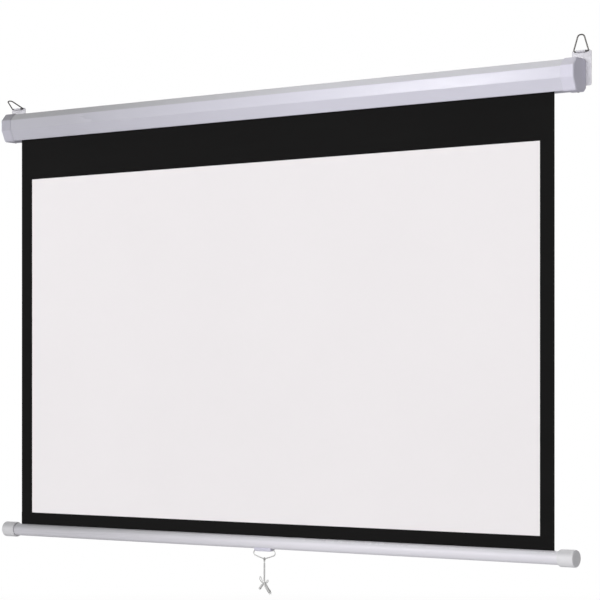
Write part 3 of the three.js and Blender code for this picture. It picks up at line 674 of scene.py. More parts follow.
def weave_group():
    """Plain weave of two crossing threads."""
    group, given, result = new_group(
        "Plain Weave", {"Vector": "Vector", "Threads": 1400.0}, {"Height": "Float"},
    )
    parts = parts_of(group, given["Vector"])
    across, down = (
        maths(group, "SINE", times(group, parts[axis], given["Threads"])) for axis in ("X", "Z")
    )
    crossed = times(group, times(group, across, down), 0.5)
    worn = noise(group, given["Vector"], 260.0, 3.0)
    feed(group, result["Height"], maths(group, "ADD", crossed, worn))
    return group


# Materials


def opaque(colour, share=1.0):
    return (*(min(1.0, c * share) for c in colour), 1.0)


class Finish:
    """A Principled material on Object coordinates that takes the shared effects."""

    def __init__(self, name):
        self.material = bpy.data.materials.new(name)
        self.material.use_nodes = True
        self.tree = self.material.node_tree
        self.shader = self.tree.nodes["Principled BSDF"]
        self.place = node(self.tree, "ShaderNodeTexCoord")["Object"]

    def feed(self, **inputs):
        for label, value in inputs.items():
            feed(self.tree, self.shader.inputs[label.replace("_", " ")], value)

    def effect(self, maker, **inputs):
        given = {label.replace("_", " "): value for label, value in inputs.items()}
        return node(
            self.tree, "ShaderNodeGroup", {"Vector": self.place, **given},
            node_tree=made_once(maker, maker),
        )

    def tone(self, colour, other_share, scale):
        return self.effect(
            tone_group, Scale=scale, Tone=opaque(colour), Other_Tone=opaque(colour, other_share),
        )["Color"]

    def streaks(self, scale, roughness):
        return self.effect(streak_group, Scale=scale, Low=roughness[0], High=roughness[1])

    def bump(self, height, strength, distance=0.0003):
        self.feed(Normal=node(self.tree, "ShaderNodeBump", {
            "Height": height, "Strength": strength, "Distance": distance,
        })["Normal"])


def painted(
    name, colour, dust_and_shade_colour, top_dust_and_shade=0.85, left_end_shade=0.65, roughness=(0.1, 0.14), specular=0.5, grain=900.0,
):
    """Enamel or satin plastic: a drifting tone, fine grain, a dusting with painted shade on faces that
    look up, and painted shade towards the left end.
    """
    finish = Finish(name)
    tree = finish.tree
    # Dust mixed with painted shade on faces that look up.
    dust_and_shade_masks = finish.effect(dust_and_shade_group, Scale=26.0, Amount=top_dust_and_shade)
    dusty_and_shaded = mix_colours(tree, dust_and_shade_masks["Mask"], finish.tone(colour, 0.98, 3.5), opaque(dust_and_shade_colour))
    # Painted shade towards the left end and on faces that look up.
    left_shade_mask = finish.effect(left_shade_group, Amount=left_end_shade)["Mask"]
    dulled = ranged(tree, maths(tree, "ADD", dust_and_shade_masks["Mask"], left_shade_mask), 0.0, 1.0, 0.0, 0.35)
    matt = maths(tree, "ADD", dulled, times(tree, dust_and_shade_masks["Underside"], 0.7))
    rubbed = finish.streaks(22.0, roughness)["Roughness"]
    finish.feed(
        Base_Color=mix_colours(tree, left_shade_mask, dusty_and_shaded, opaque(dust_and_shade_colour, 0.35)),
        Roughness=maths(tree, "ADD", rubbed, matt), Specular_IOR_Level=specular,
    )
    finish.bump(finish.effect(grain_group, Scale=grain)["Height"], 0.06, 0.0004)
    return finish.material


def plain(name, colour, other_share, scale, streak_scale, roughness):
    """A finish with a drifting tone and rubbed streaks, and the height of the streaks."""
    finish = Finish(name)
    rubbed = finish.streaks(streak_scale, roughness)
    finish.feed(Base_Color=finish.tone(colour, other_share, scale), Roughness=rubbed["Roughness"])
    return finish, rubbed["Height"]


def metal(name, colour, roughness, metallic=0.9, streaks=60.0, bump=0.2):
    """Plated or drawn metal with a soft grain and rubbed streaks."""
    finish, height = plain(name, colour, 0.82, 55.0, streaks, roughness)
    finish.feed(Metallic=metallic)
    finish.bump(height, bump)
    return finish.material


def moulded(name, colour):
    """Plain moulded plastic of the inner parts."""
    finish, _ = plain(name, colour, 0.93, 30.0, 50.0, (0.45, 0.6))
    finish.bump(finish.effect(grain_group, Scale=1400.0)["Height"], 0.25)
    return finish.material


def screen_cloth(name, colour, other_share, roughness, specular=0.12, depth=0.0002):
    """Coated cloth: a fine plain weave, matt and nearly even."""
    finish, _ = plain(name, colour, other_share, 2.2, 9.0, roughness)
    finish.feed(Specular_IOR_Level=specular)
    finish.bump(finish.effect(weave_group, Threads=1500.0)["Height"], 0.35, depth)
    return finish.material


def twisted_cotton(name, colour):
    """Fibres of a cotton cord: soft streaks, a little fuzz sheen, and darker from the knot down."""
    finish = Finish(name)
    tree = finish.tree
    fibres = noise(tree, finish.place, 1600.0, 5.0, 0.7, 0.4)
    shade = ranged(tree, fibres, 0.3, 0.7, 0.0, 0.25)
    clean = mix_colours(tree, shade, finish.tone(colour, 0.9, 160.0), opaque(colour, 0.6))
    # Darker from Z -1.183 m and fully from -1.19 m down, which takes the knot and the tails.
    darker_from_knot_down = ranged(tree, parts_of(tree, finish.place)["Z"], -1.183, -1.19)
    finish.feed(
        Base_Color=mix_colours(tree, darker_from_knot_down, clean, opaque(colour, 0.84)), Roughness=0.88,
        Specular_IOR_Level=0.2, Sheen_Weight=0.15,
    )
    finish.bump(fibres, 0.5)
    return finish.material


def material_of(name):
    """One of the named finishes."""
    colours = bpy.context.scene.pull_screen.colours
    # In the painted finishes, the values after the colour are: the colour of the dusting and painted
    # shade, the share of dusting with painted shade on top faces, the share of painted shade towards the
    # left end, the roughness, the specular level and the grain.
    maker, *values = {
        "White Enamel": (painted, colours.enamel, (0.575, 0.575, 0.59), 0.85, 0.71),
        "Bar Enamel": (
            painted, colours.bar_enamel, (0.52, 0.52, 0.54), 0.5, 0.68, (0.1, 0.14), 0.8,
        ),
        "Cap Plastic": (
            painted, colours.cap, (0.56, 0.55, 0.59), 0.7, 0.8, (0.6, 0.7), 0.35, 1300.0,
        ),
        "Bar Cap Plastic": (
            painted, colours.bar_cap, (0.5, 0.5, 0.51), 0.6, 0.4, (0.3, 0.4), 0.5, 1300.0,
        ),
        "Clip Plastic": (
            painted, colours.clip, (0.48, 0.47, 0.5), 0.3, 0.0, (0.35, 0.5), 0.5, 1300.0,
        ),
        "Screen Face": (screen_cloth, colours.cloth, 0.985, (0.8, 0.95)),
        "Screen Back": (screen_cloth, colours.backing, 0.85, (0.55, 0.7)),
        "Black Border": (screen_cloth, colours.border, 0.9, (0.75, 0.9), 0.05, 0.0001),
        "Zinc Plate": (metal, colours.zinc, (0.45, 0.6), 0.3),
        "Drawn Wire": (metal, colours.wire, (0.25, 0.4), 0.9, 140.0, 0.12),
        "Handle Wire": (metal, colours.handle, (0.3, 0.45), 0.5, 140.0, 0.12),
        "Turned Steel": (metal, (0.42, 0.42, 0.44), (0.22, 0.36), 1.0, 90.0),
        "Roller Aluminium": (metal, (0.6, 0.62, 0.64), (0.3, 0.42), 1.0, 30.0),
        "Bush Brass": (metal, (0.6, 0.45, 0.2), (0.25, 0.4), 1.0, 90.0),
        "Natural Nylon": (moulded, (0.7, 0.69, 0.65)),
        "Twisted Cotton": (twisted_cotton, colours.cord),
    }[name]
    return made_once(name, lambda: maker(name, *values))


# Geometry node trees


def from_tree(piece, maker, finish, **inputs):
    """Runs a geometry node tree on the piece and keeps its result as a plain mesh."""
    tree = made_once(maker, maker)
    modifier = piece.modifiers.new(tree.name, "NODES")
    modifier.node_group = tree
    sockets = {
        item.name: item.identifier for item in tree.interface.items_tree
        if item.item_type == "SOCKET" and item.in_out == "INPUT"
    }
    for label, value in {**inputs, "Material": material_of(finish)}.items():
        modifier[sockets[label.replace("_", " ")]] = value
    baked(piece)
    face_outwards(piece)
    return piece


def new_tree(name, inputs):
    """A geometry node tree that takes a mesh, its own inputs and a material."""
    return new_group(
        name, {"Geometry": "Geometry", **inputs, "Material": "Material"}, {"Geometry": "Geometry"},
        "GeometryNodeTree",
    )


def end_tree(tree, geometry, given, result):
    """Every tree ends with real meshes and their material."""
    real = node(tree, "GeometryNodeRealizeInstances", {"Geometry": geometry})[0]
    feed(tree, result["Geometry"], node(tree, "GeometryNodeSetMaterial", {
        "Geometry": real, "Material": given["Material"],
    })[0])
    return tree


def attribute(tree, name, kind="FLOAT"):
    return node(tree, "GeometryNodeInputNamedAttribute", {"Name": name}, data_type=kind)[0]


def circle(tree, sides, radius):
    return node(tree, "GeometryNodeCurvePrimitiveCircle", {"Resolution": sides, "Radius": radius})[0]


def swept(tree, curve, section, scale=1.0):
    """A capped and softly shaded rod along a curve."""
    rod = node(tree, "GeometryNodeCurveToMesh", {
        "Curve": curve, "Profile Curve": section, "Scale": scale, "Fill Caps": True,
    })[0]
    return node(tree, "GeometryNodeSetShadeSmooth", {"Geometry": rod})[0]


def turn_to(tree, direction):
    return node(tree, "FunctionNodeAlignRotationToVector", {"Vector": direction}, axis="Z")[0]


def bent_wire_tree():
    """A round wire along a path of points, each corner bent to its own radius."""
    tree, given, result = new_tree(
        "Bent Wire", {"Wire Radius": 0.0015, "Bend Steps": 9, "Sides": 16},
    )
    curve = node(tree, "GeometryNodeMeshToCurve", {"Mesh": given["Geometry"]})[0]
    bent = node(tree, "GeometryNodeFilletCurve", {
        "Curve": curve, "Radius": attribute(tree, "bend"), "Limit Radius": True,
        "Count": given["Bend Steps"],
    }, mode="POLY")[0]
    wire = swept(tree, bent, circle(tree, given["Sides"], given["Wire Radius"]))
    return end_tree(tree, wire, given, result)


def twisted_cord_tree():
    """Strands laid round each other along a path of points."""
    tree, given, result = new_tree("Twisted Cord", {
        "Cord Radius": 0.0015, "Strands": 3, "Turn Length": 0.009, "Steps": 90, "Groove": 0.2,
        "Taper": 0.0,
    })
    curve = node(tree, "GeometryNodeMeshToCurve", {"Mesh": given["Geometry"]})[0]
    soft = node(tree, "GeometryNodeCurveSplineType", {"Curve": curve}, spline_type="CATMULL_ROM")[0]
    even = node(
        tree, "GeometryNodeResampleCurve", {"Curve": soft, "Count": given["Steps"]}, mode="COUNT",
    )[0]
    along = node(tree, "GeometryNodeSplineParameter")
    turns = maths(tree, "DIVIDE", along["Length"], given["Turn Length"])
    tilted = node(tree, "GeometryNodeSetCurveTilt", {
        "Curve": even, "Tilt": times(tree, turns, FULL_TURN),
    })[0]
    slim = maths(tree, "SUBTRACT", 1.0, times(tree, along["Factor"], given["Taper"]))
    place = node(tree, "GeometryNodeInputPosition")[0]
    parts = parts_of(tree, place)
    angle = maths(tree, "ARCTAN2", parts["Y"], parts["X"])
    wave = maths(tree, "COSINE", times(tree, angle, times(tree, given["Strands"], 0.5)))
    lobes = maths(tree, "ABSOLUTE", wave)
    dip = times(tree, maths(tree, "SUBTRACT", 1.0, lobes), given["Groove"])
    section = node(tree, "GeometryNodeSetPosition", {
        "Geometry": circle(tree, 24, given["Cord Radius"]),
        "Position": scaled(tree, place, maths(tree, "SUBTRACT", 1.0, dip)),
    })[0]
    return end_tree(tree, swept(tree, tilted, section, slim), given, result)


def frayed_end_tree():
    """Loose fibres that fan out from each point along its facing direction."""
    tree, given, result = new_tree("Frayed End", {
        "Count": 40, "Spread": 0.0012, "Fibre Length": 0.006, "Fibre Radius": 0.00022, "Fan": 0.5,
        "Seed": 7,
    })
    length = given["Fibre Length"]
    fibre = node(tree, "GeometryNodeCurveQuadraticBezier", {
        "Resolution": 5, "Start": (0, 0, 0),
        "Middle": vector_of(tree, times(tree, length, -0.12), 0.0, times(tree, length, 0.5)),
        "End": vector_of(tree, times(tree, length, 0.1), 0.0, length),
    })[0]
    shares = node(tree, "GeometryNodeSplineParameter")["Factor"]
    thin = maths(tree, "SUBTRACT", 1.0, times(tree, shares, 0.6))
    strand = swept(tree, fibre, circle(tree, 5, given["Fibre Radius"]), thin)
    tips = node(tree, "GeometryNodeMeshToPoints", {"Mesh": given["Geometry"]})[0]
    many = node(tree, "GeometryNodeDuplicateElements", {
        "Geometry": tips, "Amount": given["Count"],
    }, domain="POINT")[0]
    index = node(tree, "GeometryNodeInputIndex")[0]

    def drawn(kind, offset, limits):
        seed = maths(tree, "ADD", given["Seed"], offset)
        return node(
            tree, "FunctionNodeRandomValue", {**limits, "ID": index, "Seed": seed}, data_type=kind,
        )

    def scatter(amount, offset):
        back = scaled(tree, (1, 1, 1), times(tree, amount, -1.0))
        return drawn("FLOAT_VECTOR", offset, {0: back, 1: scaled(tree, (1, 1, 1), amount)})[0]

    spread = node(tree, "GeometryNodeSetPosition", {
        "Geometry": many, "Offset": scatter(given["Spread"], 1),
    })[0]
    facing = node(tree, "ShaderNodeVectorMath", {
        0: attribute(tree, "facing", "FLOAT_VECTOR"), 1: scatter(given["Fan"], 2),
    }, operation="ADD")[0]
    fan = node(tree, "GeometryNodeInstanceOnPoints", {
        "Points": spread, "Instance": strand, "Rotation": turn_to(tree, facing),
        "Scale": drawn("FLOAT", 3, {2: 0.45, 3: 1.0})[1],
    })[0]
    return end_tree(tree, fan, given, result)


def screws_tree():
    """Cross-recess screws on points; each point says where it faces and whether it is sunk."""
    tree, given, result = new_tree("Cross Screws", {
        "Head Radius": 0.0028, "Head Height": 0.0016, "Shank Radius": 0.0014, "Shank Length": 0.007,
    })
    radius, height = given["Head Radius"], given["Head Height"]

    def moved(geometry, z):
        return node(tree, "GeometryNodeTransform", {
            "Geometry": geometry, "Translation": vector_of(tree, z=z),
        })[0]

    def bar(long, wide, deep, z):
        size = vector_of(tree, long, wide, deep)
        return moved(node(tree, "GeometryNodeMeshCube", {"Size": size})[0], z)

    def cut(mesh, *others):
        return node(tree, "GeometryNodeMeshBoolean", {
            "Mesh 1": mesh, "Mesh 2": list(others),
        }, operation="DIFFERENCE")[0]

    def recessed(head, top):
        long, wide = times(tree, radius, 1.25), times(tree, radius, 0.25)
        deep = times(tree, height, 1.1)
        return cut(head, bar(long, wide, deep, top), bar(wide, long, deep, top))

    def group_of(*parts):
        return node(tree, "GeometryNodeJoinGeometry", {0: list(parts)})[0]

    ball = node(tree, "GeometryNodeMeshUVSphere", {"Segments": 32, "Rings": 16, "Radius": radius})[0]
    squat = node(tree, "GeometryNodeTransform", {
        "Geometry": ball, "Scale": vector_of(tree, 1.0, 1.0, maths(tree, "DIVIDE", height, radius)),
    })[0]
    wide = times(tree, radius, 3.0)
    dome = cut(squat, bar(wide, wide, radius, times(tree, radius, -0.5)))
    shank = moved(node(tree, "GeometryNodeMeshCylinder", {
        "Vertices": 20, "Radius": given["Shank Radius"], "Depth": given["Shank Length"],
    })[0], times(tree, given["Shank Length"], -0.5))
    low = times(tree, height, -1.0)
    cone = moved(node(tree, "GeometryNodeMeshCone", {
        "Vertices": 32, "Radius Top": radius, "Radius Bottom": given["Shank Radius"], "Depth": height,
    })[0], low)
    pan = group_of(recessed(dome, height), shank)
    sunk = group_of(recessed(cone, 0.0), moved(shank, low))
    turn = turn_to(tree, attribute(tree, "facing", "FLOAT_VECTOR"))
    split = node(tree, "GeometryNodeSeparateGeometry", {
        "Geometry": node(tree, "GeometryNodeMeshToPoints", {"Mesh": given["Geometry"]})[0],
        "Selection": maths(tree, "GREATER_THAN", attribute(tree, "sunk"), 0.5),
    }, domain="POINT")
    screws = group_of(*(
        node(tree, "GeometryNodeInstanceOnPoints", {
            "Points": source, "Instance": screw, "Rotation": turn,
        })[0]
        for source, screw in ((split[1], pan), (split[0], sunk))
    ))
    return end_tree(tree, screws, given, result)


def path_piece(name, points, bends=None):
    """A line of joined points in millimetres, with a bend radius stored at each."""
    mesh = raw_mesh(name, points, [(i, i + 1) for i in range(len(points) - 1)])
    if bends:
        stored = mesh.attributes.new("bend", "FLOAT", "POINT")
        stored.data.foreach_set("value", [b * MM for b in bends])
    return linked(name, mesh)


def point_piece(name, places):
    """Loose points in millimetres that each store a facing direction and whether they are sunk."""
    mesh = raw_mesh(name, [place for place, _, _ in places])
    facing = mesh.attributes.new("facing", "FLOAT_VECTOR", "POINT")
    facing.data.foreach_set("vector", [c for _, way, _ in places for c in way])
    sunk = mesh.attributes.new("sunk", "FLOAT", "POINT")
    sunk.data.foreach_set("value", [float(s) for _, _, s in places])
    return linked(name, mesh)


# Pieces


class PULLSCREEN_OT_stage(bpy.types.Operator):
    """Sets the camera, the soft lights, the white surroundings and the pale floor"""

    bl_idname = "pullscreen.stage"
    bl_label = "Set the Stage"

    def execute(self, context):
        stage = context.scene.pull_screen.stage
        self.add_camera(context.scene, stage)
        self.add_sun("Front Light", (-1, 3), stage.key, 28)
        self.add_sun("Gloss Light", (-33.8, 7.5), stage.gloss, 3).visible_diffuse = False
        self.add_sun("Rear Light", (205, 25), stage.rear, 60)
        self.add_sun("Top Light", (0, 90), stage.top, 90)
        self.set_surroundings(context.scene, stage.ambient)
        self.add_floor(context.scene.pull_screen.colours.floor)
        context.scene.view_settings.view_transform = "Standard"
        return {"FINISHED"}

    def add_camera(self, scene, stage):
        data = bpy.data.cameras.new("Camera")
        data.sensor_width = SENSOR_WIDTH
        data.lens = stage.lens
        data.shift_y = stage.shift_up
        data.clip_end = VIEW_REACH
        scene.camera = linked("Camera", data)
        scene.camera.location = stage.camera_place
        scene.camera.rotation_euler = (math.pi / 2, 0, stage.camera_turn)

    def add_sun(self, name, aim, strength, width):
        """A far soft light; aim is its compass angle from the front and its height, in degrees."""
        data = bpy.data.lights.new(name, "SUN")
        data.energy = strength
        data.angle = math.radians(width)
        turn, rise = math.radians(aim[0]), math.radians(aim[1])
        towards = Vector((
            math.sin(turn) * math.cos(rise), -math.cos(turn) * math.cos(rise), math.sin(rise),
        ))
        light = linked(name, data)
        light.rotation_euler = towards.to_track_quat("Z", "Y").to_euler()
        light.location = towards * LIGHT_DISTANCE
        return light

    def set_surroundings(self, scene, level):
        scene.world = bpy.data.worlds.new("Surroundings")
        scene.world.use_nodes = True
        tree = scene.world.node_tree
        tree.nodes.clear()
        soft, white = (
            node(tree, "ShaderNodeBackground", {"Color": colour, "Strength": strength})[0]
            for colour, strength in (((0.985, 0.98, 1.0, 1), level), ((1, 1, 1, 1), 1.0))
        )
        mixed = node(tree, "ShaderNodeMixShader", {0: self.seen_rays(tree), 1: soft, 2: white})[0]
        node(tree, "ShaderNodeOutputWorld", {"Surface": mixed})

    def seen_rays(self, tree):
        """1 where the surroundings are seen directly, in gloss or through glass."""
        path = node(tree, "ShaderNodeLightPath")
        gloss = maths(tree, "MAXIMUM", path["Is Glossy Ray"], path["Is Transmission Ray"])
        return maths(tree, "MAXIMUM", path["Is Camera Ray"], gloss)

    def add_floor(self, colour):
        """A pale floor that keeps the object's shadow and fades into the white surroundings."""
        sides = 48
        places = [(0, 0, FLOOR_Z)]
        for radius in FLOOR_RADII:
            places += [(x, y, FLOOR_Z) for x, y in arc(radius, 0, FULL_TURN, sides)[:-1]]
        faces = [(0, 1 + i, 1 + (i + 1) % sides) for i in range(sides)]
        for a in range(1, len(places) - sides, sides):
            for i in range(sides):
                j = (i + 1) % sides
                faces.append((a + i, a + sides + i, a + sides + j, a + j))
        mesh = bpy.data.meshes.new("Floor")
        mesh.from_pydata(places, [], faces)
        mesh.materials.append(self.floor_material(colour))
        linked("Floor", mesh)

    def floor_material(self, colour):
        finish = Finish("Pale Floor")
        tree = finish.tree
        finish.feed(
            Base_Color=finish.tone(colour, 0.985, 0.8), Roughness=0.9, Specular_IOR_Level=0.1,
        )
        flat = node(
            tree, "ShaderNodeVectorMath", {0: finish.place, 1: (1, 1, 0)}, operation="MULTIPLY",
        )[0]
        reach = node(tree, "ShaderNodeVectorMath", {0: flat}, operation="LENGTH")["Value"]
        far = ranged(tree, reach, 2.5, 9.0, curve="SMOOTHSTEP")
        mixed = node(tree, "ShaderNodeMixShader", {
            0: times(tree, far, self.seen_rays(tree)), 1: finish.shader.outputs[0],
            2: node(tree, "ShaderNodeEmission", {"Color": (1, 1, 1, 1), "Strength": 1.0})[0],
        })[0]
        feed(tree, tree.nodes["Material Output"].inputs["Surface"], mixed)
        return finish.material


class PULLSCREEN_OT_cord(bpy.types.Operator):
    """Hangs the twisted cord with its hitch, knot, loops and frayed tails"""

    bl_idname = "pullscreen.cord"
    bl_label = "Add the Cord"

    def execute(self, context):
        sizes = context.scene.pull_screen.sizes
        route = [(x, SHEET_Y + y, CORD_TOP_Z + z) for x, y, z in CORD_ROUTE]
        cord = self.strand("cord", route, sizes.cord_radius, 120)
        hitch = self.add_hitch(sizes.handle_wire / MM)
        bow = self.add_bow(sizes.cord_radius, sizes.fray_count)
        finished(cord, "cord", "Twisted Cotton", "pull_cord", slot="cord_cotton")
        return {"FINISHED"}

    def strand(self, name, points, radius, steps, groove=0.2, taper=0.0, turn=7.5 * MM):
        return from_tree(
            path_piece(name, points), twisted_cord_tree, "Twisted Cotton", Cord_Radius=radius,
            Steps=steps, Groove=groove, Taper=taper, Turn_Length=turn,
        )

    def coil(self, name, centre, radius, rise, turns, cord_radius, tilt):
        """A tight coil of cord, which is what a small knot looks like."""
        steps = int(turns * 14)
        points = []
        for i, (x, y) in enumerate(arc(radius, 0, FULL_TURN * turns, steps)):
            z = rise * (i / steps - 0.5) + tilt[0] * x + tilt[1] * y
            points.append((centre[0] + x, centre[1] + y, centre[2] + z))
        return self.strand(name, points, cord_radius, steps * 3, 0.16, turn=5 * MM)

    def add_hitch(self, wire_radius):
        """The eye round the wire and two turns below it."""
        radius, slip, steps = 1.35, 0.5, 24
        around = arc(wire_radius + 0.2 + radius, -math.pi / 2, FULL_TURN, steps)
        eye = [
            (slip * math.sin(math.pi * i / steps), SHEET_Y + y, HANDLE_LOW_Z + z)
            for i, (y, z) in enumerate(around)
        ]
        ring = self.strand("eye", eye, radius * MM, 90, 0.16)
        below = (0, SHEET_Y, HANDLE_LOW_Z - 5.6)
        turns = self.coil("turns", below, 1.1, 2.6, 2.2, 1.15 * MM, (0.1, 0.15))
        hitch = joined("cord_hitch_turns", [ring, turns])
        return finished(hitch, "cord", "Twisted Cotton", "cord_hitch", slot="cord_cotton")

    def add_bow(self, radius, fibres):
        first_loop, second_loop, short_tail, long_tail = (
            [tuple(c + s * BOW_REACH for c, s in zip(BOW_PLACE, share)) for share in shares]
            for shares in (FIRST_LOOP, SECOND_LOOP, SHORT_TAIL, LONG_TAIL)
        )
        bow = joined("cord_bow_tails", [
            self.coil("knot", BOW_PLACE, 1.7, 3.2, 2.4, 1.45 * MM, (0.35, 0.2)),
            self.strand("first_loop", first_loop, radius * 0.5, 100),
            self.strand("second_loop", second_loop, radius * 0.5, 90),
            self.strand("short_tail", short_tail, radius * 1.25, 60, 0.22, -0.25),
            self.strand("long_tail", long_tail, radius * 1.5, 90, 0.22, -0.4),
            self.fray("short_fray", short_tail, radius * 0.9, fibres, 11, 4.5 * MM),
            self.fray("long_fray", long_tail, radius * 1.2, fibres, 23, 7.5 * MM),
        ])
        return finished(bow, "cord", "Twisted Cotton", "cord_bow", slot="cord_cotton")

    def fray(self, name, points, spread, count, seed, length):
        end, before = Vector(points[-1]), Vector(points[-2])
        way = (end - before).normalized()
        return from_tree(
            point_piece(name, [(tuple(end - way), tuple(way), 0)]), frayed_end_tree,
            "Twisted Cotton", Count=count, Spread=spread, Fibre_Length=length, Fan=0.32, Seed=seed,
        )


class PULLSCREEN_OT_case(bpy.types.Operator):
    """Folds the case out of sheet with soft bends and a slot for the cloth"""

    bl_idname = "pullscreen.case"
    bl_label = "Add the Case"

    def execute(self, context):
        wall = context.scene.pull_screen.sizes.case_wall / MM
        outer = rounded_path(CASE_BAND, CASE_BENDS, closed=False)
        bends = [max(bend - wall, 0.35) for bend in CASE_BENDS]
        inner = rounded_path(offset_corners(CASE_BAND, wall, closed=False), bends, closed=False)
        end = CAP_INNER_X - 0.3
        shell = extruded("folded_shell", spaced(-end, end, 24), outer + inner[::-1], thin=True)
        near, far, *depth_and_height = PLATE_RECESS
        for span in ((-far, -near), (near, far)):
            combined(shell, block(*span, *depth_and_height))
        smooth(shell, 30)
        finished(shell, "case", "White Enamel", "case_shell", slot="white_enamel")
        return {"FINISHED"}


class PULLSCREEN_OT_end_caps(bpy.types.Operator):
    """Moulds the two end caps with a rounded rim, inner pads and a boss"""

    bl_idname = "pullscreen.end_caps"
    bl_label = "Add the End Caps"

    def execute(self, context):
        rounding = context.scene.pull_screen.sizes.cap_round / MM
        add_pair(
            lambda hand: self.add_cap(rounding, hand), "case", "Cap Plastic", "end_cap",
            "cap_plastic", 32,
        )
        return {"FINISHED"}

    def add_cap(self, rounding, hand):
        start, end, skin = CAP_START_X, CAP_END_X, CAP_SKIN
        stations = [
            (CAP_INNER_X, 0.3), (start + 0.3, 0.3), (start, 0.55), (start + 0.15, 0.8),
            (start + 3.2, skin - 0.05), (start + 4, skin), (end - rounding - 2, skin),
            *rounded_rim(end, skin, rounding, 8),
            (end + 0.05, skin - rounding - 1.5), (end + 0.15, skin - rounding - 6),
        ]
        rings = []
        for x, outset in stations:
            bends = [max(bend + outset, 0.4) for bend in CAP_BENDS]
            path = rounded_path(offset_corners(CAP_OUTLINE, -outset), bends)
            rings.append([(x, y, z) for y, z in path])
        cap = lofted(f"{hand}_cap_moulding", rings)
        self.add_inner_parts(cap, hand)
        combined(cap, block(*BEHIND_WALL))
        combined(cap, block(*PLATE_RECESS))
        return screw_holes(cap, -20)

    def add_inner_parts(self, cap, hand):
        """The two pads behind the wall plate and the boss that carries the roller."""
        for z in PLATE_SCREWS_Z:
            combined(cap, block(*PAD, z - PAD_HALF, z + PAD_HALF), "UNION")
        middle = (ROLLER_Y, ROLLER_Z)
        combined(cap, turned("boss", BOSS, middle, 48), "UNION")
        bore, depth = GUDGEON_BORE, CAP_INNER_X
        if hand == "right":
            bore, depth = TANG_HALF_HEIGHT, TANG_START_X
            combined(cap, block(
                depth, CAP_INNER_X, ROLLER_Y - TANG_HALF_WIDTH, ROLLER_Y + TANG_HALF_WIDTH,
                ROLLER_Z - bore, ROLLER_Z + bore,
            ))
        combined(cap, turned("room", [(875, bore), (depth, bore)], middle, 40))


class PULLSCREEN_OT_wall_plates(bpy.types.Operator):
    """Presses the two wall plates with a rolled knuckle at the top"""

    bl_idname = "pullscreen.wall_plates"
    bl_label = "Add the Wall Plates"

    def execute(self, context):
        add_pair(self.add_plate, "case", "Zinc Plate", "wall_plate", "zinc_steel", 32)
        return {"FINISHED"}

    def add_plate(self, hand):
        (x0, x1), (z0, z1) = PLATE_X, PLATE_Z
        path = rounded_path([(x0, z0), (x1, z0), (x1, z1), (x0, z1)], [5] * 4, steps=8)
        plate = lofted(f"{hand}_wall_plate_pressing", [
            [(x, y, z) for x, z in path] for y in (-PLATE_THICKNESS, 0)
        ])
        combined(plate, self.rolled_tab(), "UNION")
        screw_holes(plate, -4)
        return modified(
            plate, "BEVEL", width=0.25 * MM, segments=2, limit_method="ANGLE",
            angle_limit=math.radians(50),
        )

    def rolled_tab(self):
        """The strip on the plate that rolls forward over the loop's wire."""
        outer, inner, half, sweep = 3, 1.8, 12, math.radians(250)
        low = PIVOT_Z - 5
        curled = arc(outer, 0, sweep, 24) + arc(inner, 0, sweep, 24)[::-1]
        section = [
            (PIVOT_Y + outer, low), *((PIVOT_Y + y, PIVOT_Z + z) for y, z in curled),
            (PIVOT_Y + inner, low),
        ]
        return extruded("tab", (PLATE_MID_X - half, PLATE_MID_X + half), section)


class PULLSCREEN_OT_hanging_loops(bpy.types.Operator):
    """Bends the two wire loops that the case hangs by"""

    bl_idname = "pullscreen.hanging_loops"
    bl_label = "Add the Hanging Loops"

    def execute(self, context):
        radius = context.scene.pull_screen.sizes.loop_wire
        for (side, hand), lean in zip(HANDS, (0, 60)):
            turn = math.radians(lean)
            points = [
                (side * PLATE_MID_X + x, PIVOT_Y - z * math.sin(turn), PIVOT_Z + z * math.cos(turn))
                for x, z in LOOP_OUTLINE
            ]
            loop = from_tree(
                path_piece(f"{hand}_loop_wire", points, LOOP_BENDS), bent_wire_tree,
                "Drawn Wire", Wire_Radius=radius,
            )
            finished(loop, f"{hand}_bail", "Drawn Wire", f"{hand}_hanger_bail", slot="zinc_steel")
        return {"FINISHED"}


